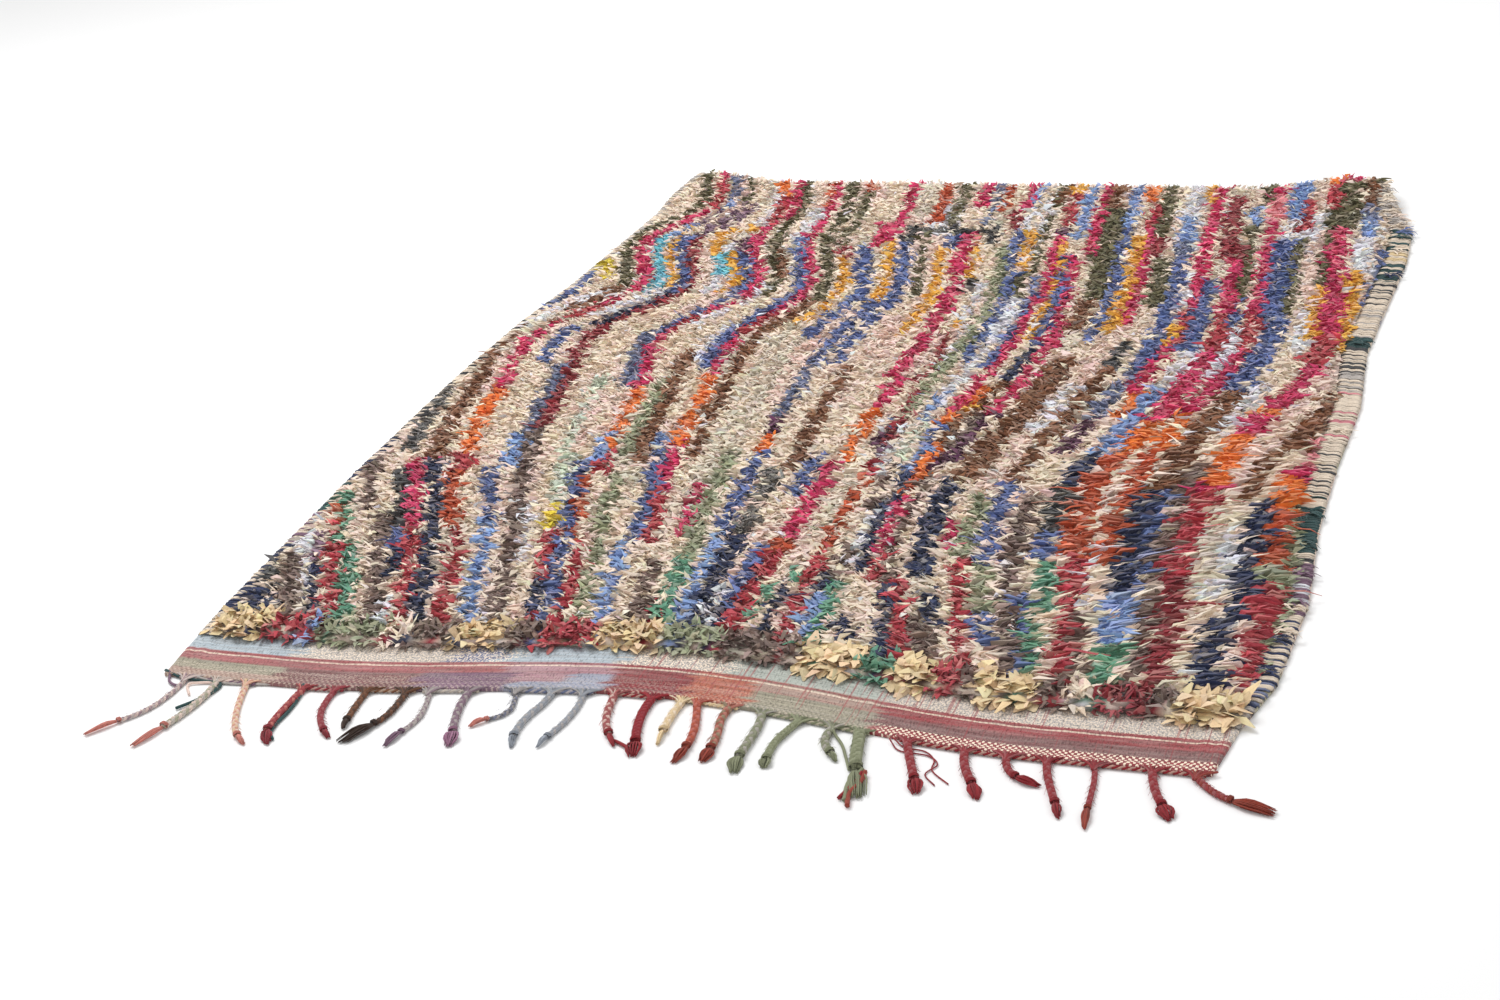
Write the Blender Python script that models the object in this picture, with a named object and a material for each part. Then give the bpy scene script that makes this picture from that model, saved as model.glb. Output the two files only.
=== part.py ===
"""Boucherouite rug, laid flat: a woven ground, a pile of knotted rag strips and a braided fringe.

Loom lengths are taken from the hem's left corner: x across the rug, y away from the fringe.
The model's own origin lies on the floor, under the middle of the rug.
"""
import math

import bmesh
import bpy
import numpy as np

# Driving sizes of the rug, in metres
RUG_LENGTH = 1.960
MIDDLE = (0.645, 0.980)
CLOTH_THICKNESS = 0.003
PILE_HEIGHT = 0.0155
GAP = 0.0003
FLAT_ANGLE = math.radians(0.3)

# Selvedges: distance from the hem, left edge, right edge
SELVEDGES = (
    (0.00, 0.000, 1.300),
    (0.10, -0.012, 1.315),
    (0.20, -0.022, 1.340),
    (0.40, -0.035, 1.350),
    (0.60, -0.048, 1.337),
    (0.80, -0.055, 1.337),
    (1.00, -0.060, 1.345),
    (1.20, -0.056, 1.332),
    (1.40, -0.040, 1.342),
    (1.60, -0.034, 1.352),
    (1.75, -0.030, 1.348),
    (1.85, -0.030, 1.315),
    (1.96, -0.010, 1.280),
)

# The hem is drawn in to a shallow bow, which fades out inside the pile
BOW_DEPTH = 0.055
BOW_CENTRE = 0.630
BOW_HALF_WIDTH = 0.480
BOW_FADE = 0.350

# Bundled edge cords, wrapped by the wefts: distance in from the edge, height
EDGE_CORDS = (
    (0.000, 0.0046),
    (0.007, 0.0066),
    (0.026, 0.0064),
    (0.034, CLOTH_THICKNESS),
)
WRAP_RELIEF = 0.0004

# Flat-woven end band: distance from the hem, height
END_BAND = (
    (0.000, 0.0044),
    (0.007, 0.0046),
    (0.011, 0.0030),
    (0.033, 0.0030),
    (0.036, 0.0036),
    (0.056, 0.0036),
    (0.059, 0.0030),
    (0.062, 0.0039),
    (0.066, 0.0039),
    (0.070, 0.0030),
    (0.098, 0.0030),
)

# Far corners that curl off the floor: x, y, lift, radius
CURLED_CORNERS = (
    (-0.010, 1.960, 0.020, 0.200),
    (1.280, 1.960, 0.024, 0.240),
)
PILE_LIFT = 1.05

# The pile's slab, its cells and its lumps
PILE_START = 0.104
PILE_INSET = 0.0362
FAR_INSET = 0.006
PILE_COLUMNS = 44
PILE_ROWS = 46
RIM_HEIGHT = 0.0115
RIM_CELLS = 1.6
RIDGE_PITCH = 0.086
RIDGE_HEIGHT = 0.0034
LUMP_HEIGHT = 0.0032
TUFT_PITCH = 0.075
TUFT_HEIGHT = 0.0035

# Wavy stripes that the ridges follow: where five of them run at six distances from the hem
STRIPE_STATIONS = (0.16, 0.41, 0.91, 1.16, 1.34, 1.93)
STRIPE_PATHS = (
    (0.045, -0.075, -0.220, -0.250, -0.200, -0.250),
    (0.305, 0.215, 0.045, 0.015, 0.100, 0.045),
    (0.675, 0.670, 0.650, 0.660, 0.655, 0.570),
    (0.945, 0.870, 0.870, 0.890, 0.885, 0.820),
    (1.340, 1.330, 1.355, 1.400, 1.395, 1.365),
)

# Rag locks at the rim. Side: half width, then (reach, lowest point, thickness) for each section
LOCKS = {
    "near": (0.0105, ((0.0, 0.0044, 0.0080), (0.012, 0.0043, 0.0060), (0.024, 0.0042, 0.0022))),
    "far": (0.0080, ((0.0, 0.0046, 0.0070), (0.009, 0.0042, 0.0060), (0.026, 0.0008, 0.0024))),
    "left": (0.0080, ((0.0, 0.0078, 0.0056), (0.038, 0.0074, 0.0050), (0.056, 0.0010, 0.0024))),
    "right": (0.0080, ((0.0, 0.0078, 0.0056), (0.014, 0.0076, 0.0050), (0.029, 0.0074, 0.0020))),
}
LOCK_TIP = 0.55
LOCK_DRIFT = {"near": 0.0, "far": 0.0, "left": -0.016, "right": -0.010}
LOCK_UNEVEN = 0.22
LONG_LOCK_EVERY = 11
LONG_LOCK_REACH = 0.020

# Fringe: the backing strip, and the braids
BACKING_DEPTH = 0.006
BACKING_HEIGHT = 0.0042
BACKING_STEP = 0.024
BRAID_STEP = 0.0135
BRAID_TOP = 0.55
BRAID_HEIGHT = 0.78
BRAID_RELIEF = 0.10
TASSEL_HEIGHT = 0.0085
TASSEL_FULLNESS = 0.85
TASSEL_NECK = 0.50
TIP_WIDTH = 0.40
TIP_HEIGHT = 0.50
MARGIN = 0.004
ROOT_CLEARANCE = 0.002

# Braids of each backing: place along the hem, four headings in degrees away from straight out,
# length, width, tassel's length and width
FRINGE = {
    "fringe_cream_mauve": (
        (0.035, 5, -8, -40, -30, 0.160, 0.0075, 0.045, 0.0090),
        (0.080, 10, -5, -15, -20, 0.162, 0.0100, 0.050, 0.0095),
        (0.122, 15, 22, 30, 55, 0.150, 0.0085, 0.025, 0.0090),
    ),
    "fringe_wine": (
        (0.200, 2, 0, 8, 40, 0.130, 0.0100, 0.035, 0.0160),
        (0.242, 0, 14, 36, 45, 0.116, 0.0085, 0.020, 0.0085),
    ),
    "fringe_brown": (
        (0.283, 4, 6, 10, 12, 0.086, 0.0085, 0.020, 0.0080),
        (0.333, 8, 0, -30, -18, 0.128, 0.0090, 0.052, 0.0200),
    ),
    "fringe_mauve": (
        (0.362, 20, 12, -16, -5, 0.128, 0.0070, 0.034, 0.0120),
        (0.411, 0, 14, 22, 12, 0.125, 0.0100, 0.034, 0.0230),
    ),
    "fringe_grey": (
        (0.469, 18, 12, -55, -28, 0.098, 0.0065, 0.025, 0.0080),
        (0.513, 4, -14, 4, 24, 0.127, 0.0095, 0.025, 0.0105),
        (0.552, 12, 0, -12, -8, 0.126, 0.0080, 0.025, 0.0085),
    ),
    "fringe_madder": (
        (0.591, 5, 14, 30, 36, 0.118, 0.0100, 0.030, 0.0080),
        (0.639, -5, 10, 19, 15, 0.130, 0.0115, 0.032, 0.0230),
    ),
    "fringe_rust": (
        (0.677, -6, 2, 6, 6, 0.096, 0.0100, 0.030, 0.0080),
        (0.696, 20, 16, 4, -14, 0.131, 0.0100, 0.036, 0.0150),
        (0.737, -9, 15, 5, -9, 0.118, 0.0105, 0.030, 0.0190),
    ),
    "fringe_sage": (
        (0.780, 12, 0, 0, 18, 0.128, 0.0110, 0.036, 0.0230),
        (0.827, -18, -14, 4, 12, 0.104, 0.0100, 0.018, 0.0170),
        (0.870, -16, 10, 40, 36, 0.075, 0.0100, 0.020, 0.0100),
        (0.904, 12, 12, 22, 16, 0.135, 0.0150, 0.060, 0.0230),
    ),
    "fringe_red": (
        (0.962, 18, 22, 22, 20, 0.106, 0.0105, 0.030, 0.0210),
        (1.030, 8, 22, 30, 20, 0.098, 0.0105, 0.032, 0.0230),
        (1.078, 4, 30, 65, 78, 0.075, 0.0090, 0.034, 0.0150),
        (1.123, 10, 20, 22, 18, 0.112, 0.0095, 0.030, 0.0130),
        (1.175, 15, 4, 4, 8, 0.123, 0.0070, 0.040, 0.0100),
        (1.238, 10, 18, 28, 30, 0.096, 0.0100, 0.030, 0.0210),
        (1.284, 30, 50, 76, 72, 0.112, 0.0090, 0.052, 0.0220),
    ),
}

# Colour and roughness of each sub-part's yarn
YARNS = {
    "ground_weave": ((0.52, 0.40, 0.38), 0.95),
    "rag_pile": ((0.62, 0.48, 0.42), 0.90),
    "fringe_cream_mauve": ((0.58, 0.42, 0.38), 0.92),
    "fringe_wine": ((0.28, 0.05, 0.07), 0.92),
    "fringe_brown": ((0.10, 0.06, 0.04), 0.92),
    "fringe_mauve": ((0.33, 0.21, 0.28), 0.92),
    "fringe_grey": ((0.36, 0.38, 0.42), 0.92),
    "fringe_madder": ((0.40, 0.05, 0.07), 0.92),
    "fringe_rust": ((0.45, 0.16, 0.07), 0.92),
    "fringe_sage": ((0.36, 0.37, 0.26), 0.92),
    "fringe_red": ((0.42, 0.06, 0.08), 0.92),
}


def smooth(share):
    """Even S-shaped rise from 0 to 1, held at its ends."""
    share = np.clip(share, 0.0, 1.0)
    return share * share * (3.0 - 2.0 * share)


def selvedge(y):
    """Left and right edge of the cloth at a distance from the hem."""
    marks, left, right = np.array(SELVEDGES).T
    return np.interp(y, marks, left), np.interp(y, marks, right)


def hem_bow(x):
    """How far the hem is drawn in: a squared cosine over the bow's width."""
    share = np.clip((x - BOW_CENTRE) / BOW_HALF_WIDTH, -1.0, 1.0)
    return BOW_DEPTH * np.cos(0.5 * math.pi * share) ** 2


def drawn_in(x, y):
    """Distance from the hem's straight line, with the bow added and faded out into the pile."""
    fade = 1.0 - smooth((y - PILE_START) / BOW_FADE)
    return y + hem_bow(x) * fade


def corner_lift(x, y):
    """Height of the cloth over the floor, where a far corner curls up."""
    lift = 0.0
    for corner_x, corner_y, height, radius in CURLED_CORNERS:
        away = np.hypot(x - corner_x, y - corner_y)
        lift = lift + height * smooth(1.0 - away / radius)
    return lift


def stripe_coordinate(x, y):
    """Which stripe a point lies in, told by where that stripe starts at the fringe end."""
    feet = [path[0] for path in STRIPE_PATHS]
    lines = [np.interp(y, STRIPE_STATIONS, path) for path in STRIPE_PATHS]
    return np.interp(x, lines, feet)


def loom_grid(rows, with_selvedges):
    """Points of the cloth's grid, a row for each distance from the hem."""
    inset = np.array([cord[0] for cord in EDGE_CORDS])
    points = np.zeros((len(rows), PILE_COLUMNS + 1 + 2 * len(inset) * with_selvedges, 2))
    for row, y in enumerate(rows):
        left, right = selvedge(y)
        across = np.linspace(left + PILE_INSET, right - PILE_INSET, PILE_COLUMNS + 1)
        if with_selvedges:
            across = np.concatenate((left + inset, across, right - inset[::-1]))
        points[row, :, 0] = across
        points[row, :, 1] = drawn_in(across, y)
    return points


def pile_rows():
    """Distances from the hem at which the pile's grid has a row."""
    return np.linspace(PILE_START, RUG_LENGTH - FAR_INSET, PILE_ROWS + 1)


def on_floor(x, y, z):
    """Move a loom point to the model's own origin."""
    return (x - MIDDLE[0], y - MIDDLE[1], z)


def solid_from_grid(points, top, bottom):
    """A closed slab: a grid of faces at the top's heights, extruded down to the bottom's."""
    row_count, column_count = top.shape
    bm = bmesh.new()
    bmesh.ops.create_grid(bm, x_segments=column_count - 1, y_segments=row_count - 1, size=0.5)
    places = {}
    for vert in bm.verts:
        column = round((vert.co.x + 0.5) * (column_count - 1))
        row = round((vert.co.y + 0.5) * (row_count - 1))
        places[vert] = (row, column)
    raised = {}
    for vert, (row, column) in places.items():
        vert.co = on_floor(*points[row, column], top[row, column])
        raised[vert.co.to_tuple(5)] = (row, column)
    extruded = bmesh.ops.extrude_face_region(bm, geom=bm.faces[:])["geom"]
    lowered = [item for item in extruded if isinstance(item, bmesh.types.BMVert)]
    for vert in lowered:
        row, column = raised[vert.co.to_tuple(5)]
        vert.co = on_floor(*points[row, column], bottom[row, column])
    bmesh.ops.recalc_face_normals(bm, faces=bm.faces[:])
    return bm, set(lowered)


def merge_flat_faces(bm, verts):
    """Join the flat faces between the given points into large ones."""
    inner = {vert for vert in verts if all(edge.other_vert(vert) in verts for edge in vert.link_edges)}
    edges = [edge for edge in bm.edges if inner & set(edge.verts)]
    bmesh.ops.dissolve_limit(bm, angle_limit=FLAT_ANGLE, verts=list(inner), edges=edges)


def make_object(name, bm):
    """Put the mesh into the scene under the sub-part's name, with its yarn as material."""
    colour, roughness = YARNS[name]
    mesh = bpy.data.meshes.new(name)
    bm.to_mesh(mesh)
    bm.free()
    material = bpy.data.materials.new(name)
    material.use_nodes = True
    shader = material.node_tree.nodes["Principled BSDF"]
    shader.inputs["Base Color"].default_value = (*colour, 1.0)
    shader.inputs["Roughness"].default_value = roughness
    shader.inputs["Metallic"].default_value = 0.0
    mesh.materials.append(material)
    piece = bpy.data.objects.new(name, mesh)
    bpy.context.scene.collection.objects.link(piece)
    return piece


def make_ground_weave():
    """The woven ground: end band with raised ribs, cord-stiffened selvedges, flat under the pile."""
    band = np.array(END_BAND)
    rows = np.concatenate((band[:, 0], pile_rows(), [RUG_LENGTH]))
    points = loom_grid(rows, True)
    top = np.full(points.shape[:2], CLOTH_THICKNESS)
    top[: len(band)] = band[:, 1][:, None]
    cord_heights = np.array([cord[1] for cord in EDGE_CORDS[:-1]])
    wraps = WRAP_RELIEF * np.cos(math.pi * np.arange(len(rows)))[:, None]
    count = len(cord_heights)
    top[:, :count] = np.maximum(top[:, :count], cord_heights + wraps)
    top[:, -count:] = np.maximum(top[:, -count:], cord_heights[::-1] + wraps)
    lift = corner_lift(points[..., 0], points[..., 1])
    bm, underside = solid_from_grid(points, top + lift, lift)
    merge_flat_faces(bm, underside)
    merge_flat_faces(bm, {vert for vert in bm.verts if vert not in underside})
    return make_object("ground_weave", bm)


def pile_top(points, rng):
    """Heights of the pile: ridges along the stripes, uneven lumps, a row of tufts, a low rim."""
    x = points[..., 0]
    stripes = np.array([stripe_coordinate(row[:, 0], row[:, 1].mean()) for row in points])
    ridges = RIDGE_HEIGHT * np.cos(2.0 * math.pi * stripes / RIDGE_PITCH)
    lumps = LUMP_HEIGHT * rng.uniform(-1.0, 1.0, x.shape)
    rows, columns = np.indices(x.shape)
    to_ends = np.minimum(rows, rows.max() - rows)
    to_sides = np.minimum(columns, columns.max() - columns)
    inside = smooth(np.minimum(to_ends, to_sides) / RIM_CELLS)
    tufts = TUFT_HEIGHT * np.abs(np.sin(math.pi * x / TUFT_PITCH)) * (rows == 1)
    full = PILE_HEIGHT + ridges + lumps + tufts
    return RIM_HEIGHT + (full - RIM_HEIGHT) * inside


def grow(bm, face, sections):
    """Extrude a four-sided face through sections, each four corners in the face's own order."""
    for corners in sections:
        face = bmesh.ops.extrude_discrete_faces(bm, faces=[face])["faces"][0]
        for vert, corner in zip(face.verts, corners):
            vert.co = corner


def rim_side(centre, normal):
    """Which side of the rug a wall of the pile faces."""
    if abs(normal.y) > abs(normal.x):
        return "near" if normal.y < 0.0 else "far"
    return "left" if centre.x < 0.0 else "right"


def grow_lock(bm, wall, number, rng):
    """One rag lock out of a wall of the pile: root on the wall, then sections out to its tip."""
    centre = wall.calc_center_median()
    out = wall.normal.copy()
    out.z = 0.0
    out.normalize()
    side = rim_side(centre, out)
    along = out.cross((0.0, 0.0, 1.0))
    half_width, profile = LOCKS[side]
    uneven = 1.0 + LOCK_UNEVEN * rng.uniform(-1.0, 1.0)
    extra = LONG_LOCK_REACH if side == "right" and number % LONG_LOCK_EVERY == 0 else 0.0
    ends = [(math.copysign(1.0, (vert.co - centre).dot(along)), vert.co.z > centre.z) for vert in wall.verts]
    sections = []
    for step, (reach, low, thickness) in enumerate(profile):
        share = step / (len(profile) - 1)
        width = half_width * (1.0 - (1.0 - LOCK_TIP) * share)
        if share == 1.0 and side != "right":
            reach = reach * uneven
        middle = centre + out * (reach + extra * share)
        middle.y += LOCK_DRIFT[side] * share * uneven
        corners = []
        for sign, upper in ends:
            corner = middle + along * (sign * width)
            lift = PILE_LIFT * corner_lift(corner.x + MIDDLE[0], corner.y + MIDDLE[1])
            corner.z = low + thickness * upper + lift
            corners.append(corner)
        sections.append(corners)
    grow(bm, wall, sections)


def make_rag_pile(rng):
    """The pile: one lumpy slab, with a rag lock out of each wall of its rim."""
    points = loom_grid(pile_rows(), False)
    lift = PILE_LIFT * corner_lift(points[..., 0], points[..., 1])
    foot = CLOTH_THICKNESS + GAP
    bm, underside = solid_from_grid(points, foot + pile_top(points, rng) + lift, foot + lift)
    walls = [face for face in bm.faces if 0 < sum(vert in underside for vert in face.verts) < 4]
    walls.sort(key=lambda face: face.calc_center_median().to_tuple(4))
    for number, wall in enumerate(walls):
        grow_lock(bm, wall, number, rng)
    merge_flat_faces(bm, underside)
    return make_object("rag_pile", bm)


def braid_centres(start, headings, length):
    """Points and headings along a braid that leaves the hem and bends over the floor."""
    count = max(4, round(length / BRAID_STEP))
    share = np.linspace(0.0, 1.0, count + 1)
    heading = np.radians(np.interp(share, np.linspace(0.0, 1.0, len(headings)), headings))
    middle = 0.5 * (heading[1:] + heading[:-1])
    step = length / count
    x = start[0] + np.concatenate(([0.0], np.cumsum(np.sin(middle)))) * step
    y = start[1] - np.concatenate(([0.0], np.cumsum(np.cos(middle)))) * step
    return x, y, heading


def braid_sizes(distance, length, width, tassel_length, tassel_width):
    """Width and height of a braid at points along it: even plaits, then the tassel and its tip."""
    plaits = 1.0 + BRAID_RELIEF * np.cos(math.pi * np.arange(len(distance)))
    share = np.clip((distance - (length - tassel_length)) / tassel_length, 0.0, 1.0)
    swell = np.sin(math.pi * share ** TASSEL_FULLNESS) * (share < 1.0) + TIP_WIDTH * (share == 1.0)
    widths = width * plaits * (1.0 - TASSEL_NECK * share) + (tassel_width - TASSEL_NECK * width) * swell
    height = BRAID_HEIGHT * width
    heights = height + (TASSEL_HEIGHT - height) * swell
    heights = heights * np.where(share == 1.0, TIP_HEIGHT, 1.0)
    return widths, heights


def make_fringe(name, braids):
    """A narrow backing along the hem, and the braids that grow out of its front."""
    roots = [(braid[0] - 0.5 * braid[6], braid[0] + 0.5 * braid[6]) for braid in braids]
    start = roots[0][0] - MARGIN
    end = roots[-1][1] + MARGIN
    marks = [start, end] + [edge for root in roots for edge in root]
    for mark in np.arange(start + BACKING_STEP, end, BACKING_STEP):
        if all(mark < low - ROOT_CLEARANCE or mark > high + ROOT_CLEARANCE for low, high in roots):
            marks.append(mark)
    marks.sort()
    bm = bmesh.new()
    rings = []
    for x in marks:
        back = hem_bow(x) - GAP
        front = back - BACKING_DEPTH
        corners = ((back, 0.0), (front, 0.0), (front, BACKING_HEIGHT), (back, BACKING_HEIGHT))
        rings.append([bm.verts.new(on_floor(x, y, z)) for y, z in corners])
    bm.faces.new(rings[0])
    bm.faces.new(reversed(rings[-1]))
    fronts = {}
    for index, (ring, following) in enumerate(zip(rings[:-1], rings[1:])):
        for side in range(4):
            other = (side + 1) % 4
            face = bm.faces.new((ring[side], following[side], following[other], ring[other]))
            if side == 1:
                fronts[marks[index]] = face
    bmesh.ops.recalc_face_normals(bm, faces=bm.faces[:])
    for braid, root in zip(braids, roots):
        grow_braid(bm, fronts[root[0]], braid)
    return make_object(name, bm)


def grow_braid(bm, face, braid):
    """One braid and its tassel, extruded from a face of the backing along its way over the floor."""
    place, *headings, length, width, tassel_length, tassel_width = braid
    start_y = hem_bow(place) - GAP - BACKING_DEPTH
    centre = face.calc_center_median()
    ends = [(math.copysign(1.0, vert.co.x - centre.x), vert.co.z > centre.z) for vert in face.verts]
    x, y, heading = braid_centres((place, start_y), headings, length)
    distance = np.linspace(0.0, length, len(x))
    widths, heights = braid_sizes(distance, length, width, tassel_length, tassel_width)
    sections = []
    for step in range(1, len(x)):
        across = (math.cos(heading[step]), math.sin(heading[step]))
        corners = []
        for sign, upper in ends:
            half = 0.5 * sign * widths[step] * (BRAID_TOP if upper else 1.0)
            point = (x[step] + across[0] * half, y[step] + across[1] * half)
            corners.append(on_floor(*point, heights[step] * upper))
        sections.append(corners)
    grow(bm, face, sections)


def main():
    for old in list(bpy.data.objects):
        bpy.data.objects.remove(old)
    rng = np.random.default_rng(7)
    make_ground_weave()
    make_rag_pile(rng)
    for name, braids in FRINGE.items():
        make_fringe(name, braids)


main()
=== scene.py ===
"""Boucherouite rug: the looks of the woven ground, the knotted rag pile and the braided fringe.

Loom lengths are taken from the hem's left corner, x across the rug and y away from the fringe,
and on_floor moves them to the model's own origin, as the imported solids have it.
"""

import math

import bpy
import numpy as np
from mathutils import Matrix


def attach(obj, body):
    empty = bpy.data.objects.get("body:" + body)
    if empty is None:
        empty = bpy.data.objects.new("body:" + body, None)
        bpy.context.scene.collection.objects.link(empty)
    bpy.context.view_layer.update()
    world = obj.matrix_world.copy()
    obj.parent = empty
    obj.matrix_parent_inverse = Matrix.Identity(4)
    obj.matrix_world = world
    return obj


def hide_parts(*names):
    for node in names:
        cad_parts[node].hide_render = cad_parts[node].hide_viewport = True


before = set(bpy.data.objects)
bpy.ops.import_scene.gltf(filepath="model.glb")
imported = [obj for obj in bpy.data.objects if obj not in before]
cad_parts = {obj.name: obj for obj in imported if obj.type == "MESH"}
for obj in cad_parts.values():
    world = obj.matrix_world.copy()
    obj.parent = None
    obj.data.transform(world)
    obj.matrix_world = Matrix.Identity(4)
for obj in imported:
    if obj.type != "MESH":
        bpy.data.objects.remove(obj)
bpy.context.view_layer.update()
TURN = 2.0 * math.pi

# Driving sizes, in metres, the same as the solids have.
# The end band is as deep as the pile's start.
RUG_LENGTH = 1.960
MIDDLE = (0.645, 0.980)
CLOTH_THICKNESS = 0.003
GAP = 0.0003
PILE_START = 0.104
PILE_LIFT = 1.05
# Width of a corded edge, and of the wraps over it
EDGE_WIDTH = 0.038
WRAPPED_WIDTH = 0.037

# Selvedges: distance from the hem, left edge, right edge
SELVEDGES = (
    (0.00, 0.000, 1.300),
    (0.10, -0.012, 1.315),
    (0.20, -0.022, 1.340),
    (0.40, -0.035, 1.350),
    (0.60, -0.048, 1.337),
    (0.80, -0.055, 1.337),
    (1.00, -0.060, 1.345),
    (1.20, -0.056, 1.332),
    (1.40, -0.040, 1.342),
    (1.60, -0.034, 1.352),
    (1.75, -0.030, 1.348),
    (1.85, -0.030, 1.315),
    (1.96, -0.010, 1.280),
)

# The hem is drawn in to a shallow bow, which fades out inside the pile
BOW_DEPTH = 0.055
BOW_CENTRE = 0.630
BOW_HALF_WIDTH = 0.480
BOW_FADE = 0.350

# Far corners that curl off the floor: x, y, lift, radius
CURLED_CORNERS = (
    (-0.010, 1.960, 0.020, 0.200),
    (1.280, 1.960, 0.024, 0.240),
)

# Section of the selvedge over its bundled cords: distance in from the edge, height
EDGE_CORDS = (
    (0.000, 0.0040),
    (0.003, 0.0058),
    (0.009, 0.0066),
    (0.015, 0.0052),
    (0.021, 0.0060),
    (0.027, 0.0062),
    (0.034, 0.0036),
)

# Flat-woven end band: distance from the hem, height
END_BAND = (
    (0.000, 0.0040),
    (0.004, 0.0047),
    (0.008, 0.0044),
    (0.011, 0.0030),
    (0.022, 0.0031),
    (0.033, 0.0030),
    (0.036, 0.0036),
    (0.046, 0.0037),
    (0.056, 0.0036),
    (0.059, 0.0030),
    (0.062, 0.0039),
    (0.066, 0.0039),
    (0.070, 0.0030),
    (0.085, 0.0031),
    (0.100, 0.0030),
)

# Colours of the rags and yarns, as the eye sees them, 0 to 255
COLOURS = {
    "cream": (243, 225, 204),
    "blush": (236, 210, 198),
    "straw": (228, 202, 158),
    "mint": (206, 212, 196),
    "oat": (217, 206, 189),
    "shell": (240, 219, 204),
    "milk": (226, 226, 232),
    "taupe": (118, 96, 88),
    "brown": (130, 84, 56),
    "olive": (100, 94, 64),
    "sage": (152, 156, 126),
    "rose": (200, 50, 98),
    "red": (178, 58, 70),
    "wine": (146, 46, 56),
    "rust": (186, 82, 48),
    "orange": (228, 120, 48),
    "mustard": (228, 170, 62),
    "yellow": (222, 200, 60),
    "blue": (94, 110, 160),
    "sky": (130, 156, 202),
    "slate": (112, 120, 150),
    "navy": (40, 50, 84),
    "teal": (48, 78, 78),
    "green": (98, 150, 124),
    "turquoise": (108, 186, 202),
    "mauve": (128, 98, 118),
    "plum": (98, 52, 82),
    "charcoal": (70, 70, 72),
    "speckle": (122, 118, 114),
    "pink": (226, 140, 150),
    "salmon": (206, 128, 116),
    "dust": (186, 178, 172),
    "mist": (176, 188, 196),
    "dusk": (166, 100, 102),
    "bark": (66, 48, 40),
    "orchid": (156, 110, 136),
    "ash": (150, 156, 166),
    "madder": (148, 34, 42),
    "brick": (150, 62, 46),
    "moss": (138, 142, 112),
    "heather": (132, 92, 92),
    "claret": (136, 62, 66),
    "clay": (182, 106, 86),
    "fawn": (174, 146, 134),
    "lichen": (156, 150, 132),
    "garnet": (154, 72, 76),
    "haze": (156, 160, 178),
    "petal": (176, 136, 144),
    "frost": (176, 182, 174),
}

# Guide lines along the rug: where they run at nine distances from the hem
GUIDE_STATIONS = (0.20, 0.45, 0.70, 0.95, 1.20, 1.38, 1.65, 1.82, 2.00)
GUIDES = (
    (0.03, -0.09, -0.18, -0.235, -0.265, -0.215, -0.265, -0.19, -0.265),
    (0.18, 0.06, -0.05, -0.10, -0.135, -0.075, -0.135, -0.06, -0.115),
    (0.29, 0.20, 0.09, 0.03, 0.0, 0.085, 0.01, 0.068, 0.03),
    (0.45, 0.375, 0.305, 0.26, 0.21, 0.275, 0.20, 0.195, 0.14),
    (0.535, 0.475, 0.415, 0.37, 0.345, 0.39, 0.315, 0.30, 0.26),
    (0.66, 0.655, 0.65, 0.635, 0.645, 0.64, 0.595, 0.575, 0.555),
    (0.93, 0.855, 0.83, 0.855, 0.875, 0.87, 0.84, 0.822, 0.805),
    (1.195, 1.18, 1.175, 1.205, 1.255, 1.25, 1.235, 1.228, 1.22),
    (1.325, 1.315, 1.30, 1.34, 1.385, 1.38, 1.365, 1.358, 1.35),
)
# The guides run along the pile's tips, this far from where its knots are tied
TIP_SHIFT = (0.015, -0.037)

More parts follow.
